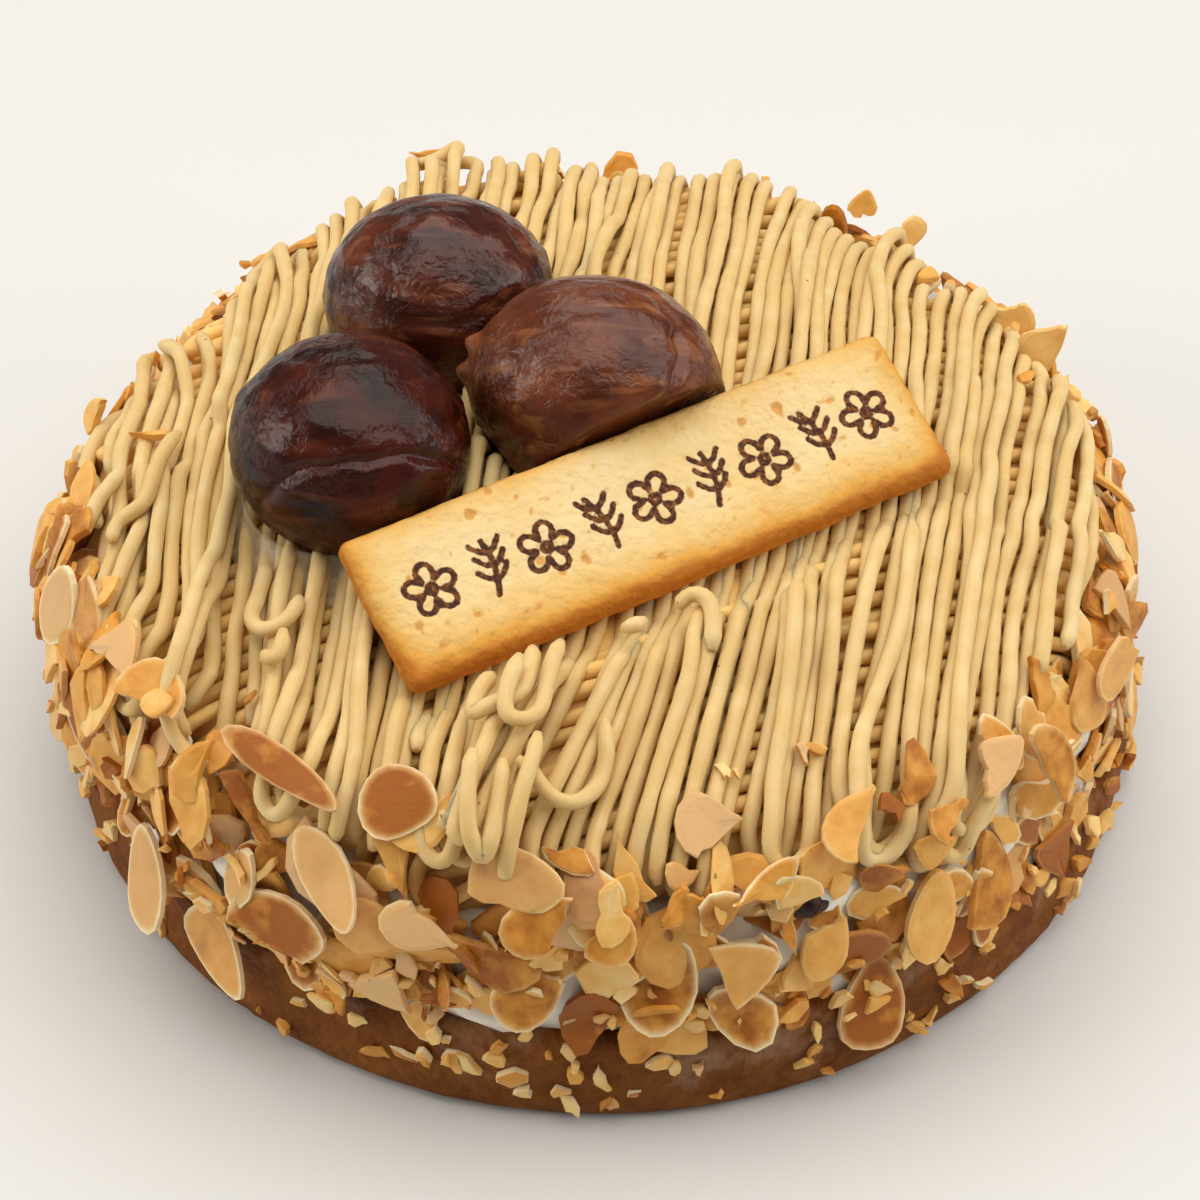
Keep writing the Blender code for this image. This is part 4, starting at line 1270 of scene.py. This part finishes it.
for k in range(1300):
    height = float(np.clip(rng.normal(26, 9.5), 4.5, 46)) if k % 11 else rng.uniform(3.5, 15.0)
    long = rng.uniform(0.8, 2.6)
    shape = slice_outline(rng, long, long * rng.uniform(0.5, 0.95), 7, 2)
    made += lay_slice(
        side_field, rng, rng.uniform(0, math.tau * AROUND), level_of(height), shape, (0.7, 1.3),
        0.15, crumbs, sunk=0.2, tilt=0.5,
    )
print("crumbs:", made)

# %% [markdown]
# Toasting browns the flat middle of a slice first and leaves the rim and fresh breaks pale. Every
# point of a slice knows how far it lies from the rim, and every slice how dark it was toasted.

# %% Material: toasted almond


def make_almond():
    material, tree, shader = new_surface(
        "toasted_almond", Roughness=0.5, IOR=1.46, Specular_IOR_Level=0.35,
        Subsurface_Weight=0.25, Subsurface_Scale=1.0 * MM,
    )
    place = add_node(tree, "TexCoord").outputs["Object"]
    tone, rim, skin = (
        add_node(tree, "Attribute", attribute_name=name).outputs["Fac"]
        for name in ("tone", "rim", "skin")
    )
    cloud = add_node(tree, "TexNoise", {"Vector": place, "Scale": 300.0, "Detail": 3.0})
    wander = add_node(tree, "Math", {0: cloud, 1: 0.7, 2: tone}, operation="MULTIPLY_ADD")
    browned = add_node(
        tree, "ValToRGB", {"Fac": wander},
        ((0.15, "#f8d893"), (0.45, "#eeb862"), (0.80, "#d8953a"), (1.0, "#a35c18")),
    )
    uneven = add_node(tree, "Math", {0: cloud, 1: 0.35, 2: rim}, operation="MULTIPLY_ADD")
    inner = add_node(tree, "MapRange", {"Value": uneven, "From Min": 0.20, "From Max": 0.80})
    edge = add_node(tree, "ValToRGB", {"Fac": inner}, ((0.1, "#f6e1b4"), (0.6, "#e6b86c")))
    skinned = add_node(tree, "Mix", {0: skin, 6: browned, 7: "#e0b680"}, data_type="RGBA")
    rimmed = add_node(
        tree, "Mix", {0: inner, 6: edge, 7: skinned.outputs[2]}, data_type="RGBA"
    )
    tree.links.new(rimmed.outputs[2], shader.inputs["Base Color"])
    grain = add_node(tree, "TexNoise", {"Vector": place, "Scale": 1300.0, "Detail": 3.0})
    raise_bumps(tree, shader, grain, 0.3, 0.3)
    return material


almond = make_almond()
almond_slices = slices.piece("almond_slices", almond)
almond_crumbs = crumbs.piece("almond_crumbs", almond)
for piece in (almond_slices, almond_crumbs):
    hand_in(piece, "cream")

# %% [markdown]
# The chestnuts are peeled, candied and glazed. Their shape is the solid's, so a copy of it is
# merged, meshed anew in small even faces, and then given what a peeled chestnut has: shallow
# lumps, fine wrinkles along its length, and one or two deep creases where the inner skin ran in.

# %% Chestnut shapes


def even_faces(obj, voxel_mm, softenings):
    """Meshes the object, which is the selected one, anew in small even faces, and softens it."""
    remesh = obj.modifiers.new("even_faces", "REMESH")
    remesh.mode = "VOXEL"
    remesh.voxel_size = voxel_mm * MM
    bpy.ops.object.modifier_apply(modifier=remesh.name)
    soft = obj.modifiers.new("soft", "SMOOTH")
    soft.factor = 0.5
    soft.iterations = softenings
    bpy.ops.object.modifier_apply(modifier=soft.name)
    bpy.ops.object.shade_smooth()


def close_copy(node, name, voxel_mm, material):
    """Copy of a solid with its points merged and its surface meshed anew in small even faces."""
    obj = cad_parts[node].copy()
    obj.data = obj.data.copy()
    obj.parent = None
    for key in [k for k in obj.keys() if k.startswith("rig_")]:
        del obj[key]
    obj.name = obj.data.name = name
    bpy.context.scene.collection.objects.link(obj)
    edit_whole(obj, (bpy.ops.mesh.remove_doubles, {"threshold": SAME_POINT}))
    even_faces(obj, voxel_mm, 24)
    obj.data.materials.clear()
    obj.data.materials.append(material)
    return obj


def crease(local, normal, offset, width, seed, around_point, spread):
    """How much of a crease reaches each point: a wavering line on one part of the surface."""
    wander = 0.10 * noise_at(local, 1.6, seed) + 0.04 * noise_at(local, 5.0, seed + 3)
    distance = local @ np.array(normal) - offset + wander
    part = np.exp(-(np.linalg.norm(local - np.array(around_point), axis=1) / spread) ** 4)
    return np.exp(-((distance / width) ** 2)) * part


print("chestnut tools ready")

# %% Material: glazed chestnut


def make_glaze(name, light, dark, streak, coat=0.8):
    """Candied chestnut under a film of syrup: dark flesh with tan streaks, and a clear coat."""
    material, tree, shader = new_surface(
        name, Roughness=0.45, IOR=1.45, Specular_IOR_Level=0.03,
        Coat_Weight=coat, Coat_Roughness=0.14, Coat_IOR=1.46,
    )
    place = add_node(tree, "TexCoord").outputs["Object"]
    squeezed = add_node(
        tree, "Mapping",
        {"Vector": place, "Rotation": (0.15, 0.1, 0.35), "Scale": (60.0, 330.0, 330.0)},
    )
    fibres = add_node(
        tree, "TexNoise", {"Vector": squeezed, "Scale": 1.0, "Detail": 5.0, "Distortion": 0.6}
    )
    cloud = add_node(tree, "TexNoise", {"Vector": place, "Scale": 150.0, "Detail": 3.0})
    flesh = add_node(tree, "ValToRGB", {"Fac": cloud}, ((0.35, dark), (0.7, light)))
    streaks = add_node(
        tree, "MapRange", {"Value": fibres, "From Min": 0.54, "From Max": 0.70, "To Max": 0.7}
    )
    worn = add_node(tree, "Attribute", attribute_name="bare").outputs["Fac"]
    streaked = add_node(tree, "Mix", {0: streaks, 6: flesh, 7: streak}, data_type="RGBA")
    opened = add_node(
        tree, "Mix", {0: worn, 6: streaked.outputs[2], 7: "#8d4f26"}, data_type="RGBA"
    )
    tree.links.new(opened.outputs[2], shader.inputs["Base Color"])
    wrinkles = add_node(
        tree, "TexNoise", {"Vector": place, "Scale": 640.0, "Detail": 5.0, "Distortion": 1.4}
    )
    patches = add_node(tree, "TexNoise", {"Vector": place, "Scale": 95.0, "Detail": 2.0})
    rough_spots = add_node(
        tree, "MapRange", {"Value": patches, "From Min": 0.46, "From Max": 0.62, "To Min": 0.25}
    )
    # Flesh and syrup share the wrinkles, so that highlights break up as on the real glaze.
    relief = add_node(tree, "Math", {0: wrinkles, 1: rough_spots}, operation="MULTIPLY")
    raise_bumps(tree, shader, relief, 0.75, 0.7, faces=("Normal", "Coat Normal"))
    return material


glaze_dark = make_glaze("candied_chestnut_dark", "#49180b", "#1c0602", "#5f2a12", coat=0.58)
glaze_mid = make_glaze("candied_chestnut_mid", "#5c2815", "#300f07", "#85492a")
glaze_light = make_glaze("candied_chestnut_light", "#733a20", "#4a1f0e", "#a5683e")
print("made", glaze_dark.name, glaze_mid.name, glaze_light.name)

# %% Chestnuts
CREASES = {
    "chestnut_left": [((0.25, -0.85, -0.45), 0.42, 0.05, 1.0, (0.3, -0.85, 0.1), 1.0, 0.9),
                      ((0.0, 0.5, 0.85), 0.88, 0.04, 6.0, (-0.1, 0.2, 1.0), 0.5, 0.35)],
    "chestnut_back": [((0.2, -0.3, 0.9), 0.80, 0.05, 2.0, (0.3, -0.2, 0.9), 0.7, 0.35),
                      ((0.5, -0.8, 0.1), 0.55, 0.05, 8.0, (0.5, -0.8, 0.3), 0.6, 0.45)],
    "chestnut_right": [((-0.15, -0.35, 0.9), 0.62, 0.045, 3.0, (0.55, -0.3, 0.75), 0.75, 0.7),
                       ((0.1, 0.55, 0.8), 0.55, 0.05, 5.0, (-0.3, 0.1, 0.95), 0.7, 0.3)],
}
# How much fuller each nut is than its solid, and how far it is shifted.
FULLER = {
    "chestnut_left": ((1.02, 1.06, 1.02), (0.0, -0.7, -0.2)),
    "chestnut_back": ((1.05, 1.03, 1.04), (0.0, 0.3, 0.3)),
    "chestnut_right": ((1.02, 1.02, 1.0), (0.0, 0.2, 0.0)),
}
GLAZES = {"chestnut_left": glaze_dark, "chestnut_back": glaze_mid, "chestnut_right": glaze_light}
for node, (place, axes) in TOPPINGS.items():
    nut = close_copy(node, node.replace("chestnut", "glazed_nut"), 0.5, GLAZES[node])
    points, normals = points_of(nut), normals_of(nut)
    local = (points - np.array(place)) / np.array(axes)
    seed = 10.0 * (1 + list(TOPPINGS).index(node))
    stretch, shift = FULLER[node]
    points = np.array(place) + (points - np.array(place)) * stretch + shift
    move = 0.30 * noise_at(local, 1.5, seed)
    along = local * np.array([1.2, 4.5, 4.5])
    move += bumps(along, ((0.20, 1.0, seed + 1), (0.12, 2.4, seed + 2)))
    move += bumps(local, ((0.16, 3.6, seed + 4), (0.06, 9.0, seed + 5)))
    for normal, offset, width, grain, at, spread, depth in CREASES[node]:
        line = crease(local, normal, offset, width, seed + grain, at, spread)
        ridge = crease(local, normal, offset + 2.2 * width, 2.0 * width, seed + grain, at, spread)
        move += 0.22 * depth * ridge - depth * line
    points += normals * move[:, None]
    if node == "chestnut_right":
        # Its near side is flat, where the biscuit's far edge lies against it.
        _, beside, upward = (np.array(axis) for axis in biscuit_axes())
        flat = -0.934 * beside - 0.357 * upward
        away = (points - np.array(BISCUIT_TOP)) @ beside - BISCUIT_SIZE[1] / 2
        on_flat = np.clip((normals @ flat - 0.45) / 0.25, 0, 1)
        points -= beside * (on_flat * np.clip(away - 0.05, -2.5, 4.5))[:, None]
    set_points(nut, points)
    bare = np.zeros(len(points))
    if node == "chestnut_right":
        # Two short tips of torn flesh stand off its left end, which is bare of glaze.
        for tip in ((-0.93, 0.2, 0.27), (-1.0, 0.02, 0.08)):
            away = np.linalg.norm(local - np.array(tip), axis=1)
            points_off = 1.7 * np.exp(-((away / 0.09) ** 2))
            set_points(nut, points_of(nut) + normals * points_off[:, None])
            worn = np.clip(1.3 - away / 0.28, 0, 1) * np.clip(0.6 + noise_at(local, 6.0, 2.0), 0, 1)
            bare = np.maximum(bare, worn)
    add_attribute(nut, "bare", bare)
    hand_in(nut, node)

chip = close_copy("chestnut_chip", "chestnut_bit", 0.3, glaze_dark)
points, normals = points_of(chip), normals_of(chip)
set_points(chip, points + normals * (0.35 * noise_at(points, 0.5) - 0.1)[:, None])
add_attribute(chip, "bare", np.zeros(len(points)))
hand_in(chip, "chestnut_chip")

# %% [markdown]
# The biscuit is a rolled and cut butter biscuit, baked pale, with soft edges, small burst bubbles
# and a browner rim on the side that lay towards the heat. It is modelled at the origin as a block
# with rounded edges, meshed finely, and only then laid in its place on the cake.

# %% Biscuit shape
bpy.ops.object.select_all(action="DESELECT")
bpy.ops.mesh.primitive_cube_add(size=1.0, location=(0, 0, 0))
biscuit = bpy.context.object
biscuit.name = biscuit.data.name = "butter_biscuit"
round_edges = {"offset": 2.1 * MM, "segments": 6, "affect": "EDGES", "clamp_overlap": True}
edit_whole(
    biscuit, (bpy.ops.transform.resize, {"value": [(side - 0.3) * MM for side in BISCUIT_SIZE]}),
    (bpy.ops.mesh.bevel, {**round_edges, "profile": 0.5}),
)
even_faces(biscuit, 0.34, 6)
flat_points, normals = points_of(biscuit), normals_of(biscuit)
u, v = flat_points[:, 0], flat_points[:, 1]
swell = 0.28 * noise_at(flat_points * [1, 1, 0.3], 0.12, 3.0)
swell = swell + 0.13 * noise_at(flat_points, 0.5, 5.0) + 0.05 * noise_at(flat_points, 1.5, 15.0)
bubbles = np.clip(noise_at(flat_points * [1, 1, 0], 0.55, 8.0) - 0.42, 0, 1)
bubbles += 0.6 * np.clip(noise_at(flat_points * [1, 1, 0], 1.15, 12.0) - 0.48, 0, 1)
# How far each point is from the biscuit's edge.
edge = np.minimum(40.0 - abs(u), 11.4 - abs(v))
swell -= 0.14 + 0.30 * np.clip(1 - edge / 5.0, 0, 1) * (flat_points[:, 2] > 0)
shaped = flat_points + normals * (swell - 0.5 * bubbles * (flat_points[:, 2] > 1))[:, None]
print("biscuit of", len(flat_points), "points")

# %% [markdown]
# A row of small ornaments is burnt into the top with a hot iron: blossoms and sprigs in turn.
# They are drawn as strokes on the flat biscuit. Each point of the surface stores its distance to
# the nearest stroke, and the finish turns that distance into a burnt line with a crisp edge.

# %% Burnt ornaments


def petals(cx, cy, size, count, start):
    """Blossom: rounded petals in a ring, and a small ring in the middle."""
    strokes = []
    for k in range(count):
        way = start + math.tau * k / count
        half = 0.92 * math.pi / count
        share = np.linspace(-1, 1, 9)
        reach = size * (0.42 + 0.58 * np.cos(share * math.pi / 2) ** 0.6)
        strokes.append(np.column_stack([cx + reach * np.cos(way + share * half),
                                        cy + reach * np.sin(way + share * half)]))
    a = np.linspace(0, math.tau, 9)
    strokes.append(np.column_stack([cx + 0.17 * size * np.cos(a), cy + 0.17 * size * np.sin(a)]))
    return strokes


def sprig(cx, cy, size, lean):
    """Sprig: a bowed stem with three pairs of leaves."""
    t = np.linspace(-1, 1, 13)
    stem = np.column_stack([cx + size * (lean * t + 0.18 * (1 - t * t)), cy + size * t])
    strokes = [stem]
    for at in (-0.45, 0.05, 0.55):
        foot = np.array([cx + size * (lean * at + 0.18 * (1 - at * at)), cy + size * at])
        for side in (-1, 1):
            s = np.linspace(0, 1, 6)
            bow = 0.42 * s - 0.10 * np.sin(math.pi * s)
            strokes.append(foot + np.column_stack([side * size * 0.55 * s, size * bow]))
    return strokes


strokes = []
for k in range(9):
    at = -31.6 + 7.9 * k
    if k % 2 == 0:
        strokes += petals(at, 0.3 * (-1) ** (k // 2), 3.5, 5, 0.3 + 0.5 * k)
    else:
        strokes += sprig(at, 0.0, 3.7, 0.15 * (-1) ** (k // 2))
OFF_STROKES = 9.0
far = np.full(len(flat_points), OFF_STROKES)
for stroke in strokes:
    for a, b in zip(stroke, stroke[1:]):
        step = b - a
        share = np.clip(((u - a[0]) * step[0] + (v - a[1]) * step[1]) / (step @ step), 0, 1)
        far = np.minimum(far, np.hypot(u - a[0] - share * step[0], v - a[1] - share * step[1]))
far = np.where(flat_points[:, 2] > 1.0, far, OFF_STROKES)
shaped -= normals * (0.12 * np.clip(1 - far / 0.5, 0, 1))[:, None]
print("strokes:", len(strokes))

# %% Biscuit in its place
# It is darker along its edge, most on the near side and at the ends, and underneath.
toast = np.clip(1 - edge / 6.0, 0, 1) ** 2 * 0.55
near_edge, ends = np.clip((-v - 2.5) / 9.0, 0, 1), np.clip((abs(u) - 30) / 10, 0, 1)
toast += 0.75 * near_edge**1.4 + 0.25 * ends**2
toast += 0.5 * np.clip((0.8 - flat_points[:, 2]) / 2.4, 0, 1)
toast += 0.14 * noise_at(flat_points, 0.12, 21.0) + 0.08 * noise_at(flat_points, 0.5, 22.0)
along, beside, normal = biscuit_axes()
axes = np.array([along, beside, normal])
middle = np.array(BISCUIT_TOP) - np.array(normal) * BISCUIT_SIZE[2] / 2
set_points(biscuit, shaped @ axes + middle)
add_attribute(biscuit, "burn", far)
add_attribute(biscuit, "toast", toast)
add_attribute(biscuit, "bubble", bubbles * (flat_points[:, 2] > 1))


def make_biscuit():
    material, tree, shader = new_surface(
        "butter_biscuit_crumb", Roughness=0.7, IOR=1.45, Specular_IOR_Level=0.3,
        Subsurface_Weight=0.1, Subsurface_Scale=1.0 * MM,
    )
    place = add_node(tree, "TexCoord").outputs["Object"]
    toasted, burn, bubble = (
        add_node(tree, "Attribute", attribute_name=name).outputs["Fac"]
        for name in ("toast", "burn", "bubble")
    )
    cloud = add_node(tree, "TexNoise", {"Vector": place, "Scale": 380.0, "Detail": 4.0})
    wander = add_node(tree, "Math", {0: cloud, 1: 0.22, 2: toasted}, operation="MULTIPLY_ADD")
    crumb = add_node(
        tree, "ValToRGB", {"Fac": wander},
        ((0.05, "#ebd09a"), (0.3, "#e5c07a"), (0.7, "#daa044"), (1.0, "#bf7420")),
    )
    pored = add_node(
        tree, "MapRange", {"Value": bubble, "From Min": 0.02, "From Max": 0.16, "To Max": 0.8}
    )
    spotted = add_node(tree, "Mix", {0: pored, 6: crumb, 7: "#cd8f3a"}, data_type="RGBA")
    char_noise = add_node(tree, "TexNoise", {"Vector": place, "Scale": 1500.0})
    char = add_node(tree, "ValToRGB", {"Fac": char_noise}, ((0.44, "#44200e"), (0.8, "#985824")))
    ragged = add_node(tree, "Math", {0: char_noise, 1: 0.35, 2: burn}, operation="MULTIPLY_ADD")
    stroke = add_node(
        tree, "MapRange",
        {"Value": ragged, "From Min": 0.50, "From Max": 0.66, "To Min": 1.0, "To Max": 0.0},
    )
    burnt = add_node(
        tree, "Mix", {0: stroke, 6: spotted.outputs[2], 7: char}, data_type="RGBA"
    )
    tree.links.new(burnt.outputs[2], shader.inputs["Base Color"])
    grain = add_node(tree, "TexNoise", {"Vector": place, "Scale": 900.0, "Detail": 5.0})
    raise_bumps(tree, shader, grain, 0.6, 0.7)
    return material


biscuit.data.materials.append(make_biscuit())
hand_in(biscuit, "biscuit_plaque")

# %% [markdown]
# Syrup ran down the left chestnut and stands in a milky film at its foot, between the strands. Its
# surface climbs up the chestnut's side, as any wet rim does, and thins out between the strands. The
# film is a closed sheet, thin and half see-through, shaped as a strip around the chestnut.

# %% Syrup at the chestnut's foot


def make_syrup():
    material, tree, shader = new_surface(
        "milky_syrup", Base_Color=colour("#dccaa8"), Roughness=0.16, IOR=1.45, Alpha=0.24
    )
    place = add_node(tree, "TexCoord").outputs["Object"]
    ripples = add_node(tree, "TexNoise", {"Vector": place, "Scale": 420.0, "Detail": 2.0})
    raise_bumps(tree, shader, ripples, 0.8, 0.8)
    return material


FILM_THICK = 0.6
place, axes = TOPPINGS["chestnut_left"]
ways = np.radians(np.arange(165.0, 287.0, 1.5))
shares = np.linspace(0, 1, 15)
# The film's width wavers along the chestnut's foot and runs out at both ends.
wide = 4.8 + 1.4 * np.sin(3.1 * ways + 1.0) + 0.9 * np.sin(9.7 * ways)
wide *= np.clip(np.minimum(ways - ways[0], ways[-1] - ways) / 0.35, 0.05, 1) ** 0.5
# Share of the chestnut's half width that it has this high.
belly = math.sqrt(1 - min(0.9, abs(51.9 + 3.6 - place[2]) / axes[2]) ** 2)
sheet = []
for way, width in zip(ways, wide):
    for share in shares:
        height = 2.2 * math.exp(-4.2 * share) - 0.1 - 0.9 * share**2
        out = belly - 0.02 + width * share / axes[0]
        x = place[0] + axes[0] * out * math.cos(way)
        y = place[1] + axes[1] * out * math.sin(way)
        sheet.append((x, y, strand_top(math.hypot(x, y)) - FILM_THICK + height))
sheet = np.array(sheet)
rows, columns = len(ways), len(shares)
index = np.arange(rows * columns).reshape(rows, columns)
low = index + rows * columns
quads = [
    np.stack([index[:-1, :-1], index[1:, :-1], index[1:, 1:], index[:-1, 1:]], axis=-1),
    np.stack([low[:-1, :-1], low[:-1, 1:], low[1:, 1:], low[1:, :-1]], axis=-1),
]
quads = [q.reshape(-1, 4) for q in quads]
border = np.concatenate([index[0, :-1], index[:-1, -1], index[-1, :0:-1], index[:0:-1, 0]])
beyond = np.roll(border, -1)
below = rows * columns
quads.append(np.stack([border, beyond, beyond + below, border + below], axis=-1))
both = np.concatenate([sheet, sheet - (0, 0, FILM_THICK)])
film = mesh_piece("syrup_film", both, [np.concatenate(quads)], make_syrup())
edit_whole(film, (bpy.ops.mesh.normals_make_consistent, {"inside": False}))
hand_in(film, "chestnut_left")

# %% [markdown]
# The cake stands on a plain pale floor. Large soft lights from above and from both sides give the
# gentle shadows and the wide pale reflections on the glaze that a small studio tent gives.

# %% Floor, light and camera
bpy.ops.object.select_all(action="DESELECT")
bpy.ops.mesh.primitive_plane_add(size=6.0, location=(0, 0, 0))
floor = bpy.context.object
floor.name = "floor"
floor.location.z = -0.2 * MM
floor_paint, *_ = new_surface("matt_white_board", Base_Color=colour("#dbdad7"), Roughness=0.6)
floor.data.materials.append(floor_paint)


def aim_at(obj, target):
    """Turns a light or the camera towards a place."""
    way = Vector(target) - obj.location
    obj.rotation_euler = way.to_track_quat("-Z", "Y").to_euler()


world = bpy.data.worlds.new("soft_tent")
bpy.context.scene.world = world
world.use_nodes = True
background = world.node_tree.nodes["Background"]
background.inputs["Color"].default_value = colour("#fffcf8")
background.inputs["Strength"].default_value = 0.16
bpy.context.scene.view_settings.view_transform = "Standard"


def soft_light(name, place, target_height, size, watts):
    data = bpy.data.lights.new(name, "AREA")
    data.shape = "RECTANGLE"
    data.size, data.size_y = size
    data.energy = watts
    data.color = colour("#fffcf7")[:3]
    lamp = bpy.data.objects.new(name, data)
    bpy.context.scene.collection.objects.link(lamp)
    lamp.location = place
    aim_at(lamp, (0, 0, target_height))


soft_light("light_above", (0.10, 0.15, 0.90), 0.04, (1.5, 1.2), 12.6)
soft_light("light_left", (-0.90, -0.10, 0.45), 0.02, (0.6, 0.5), 4.2)
soft_light("light_right", (0.90, -0.10, 0.45), 0.02, (0.6, 0.5), 2.8)

lens = bpy.data.cameras.new("camera")
lens.lens = 90
lens.sensor_width = 36
lens.sensor_fit = "HORIZONTAL"
camera = bpy.data.objects.new("camera", lens)
bpy.context.scene.collection.objects.link(camera)
camera.location = (-0.00024, -0.29277, 0.32173)
aim_at(camera, (-0.00024, 0.01727, 0.0))
bpy.context.scene.camera = camera
print("camera", [round(v / MM) for v in camera.location], "mm")
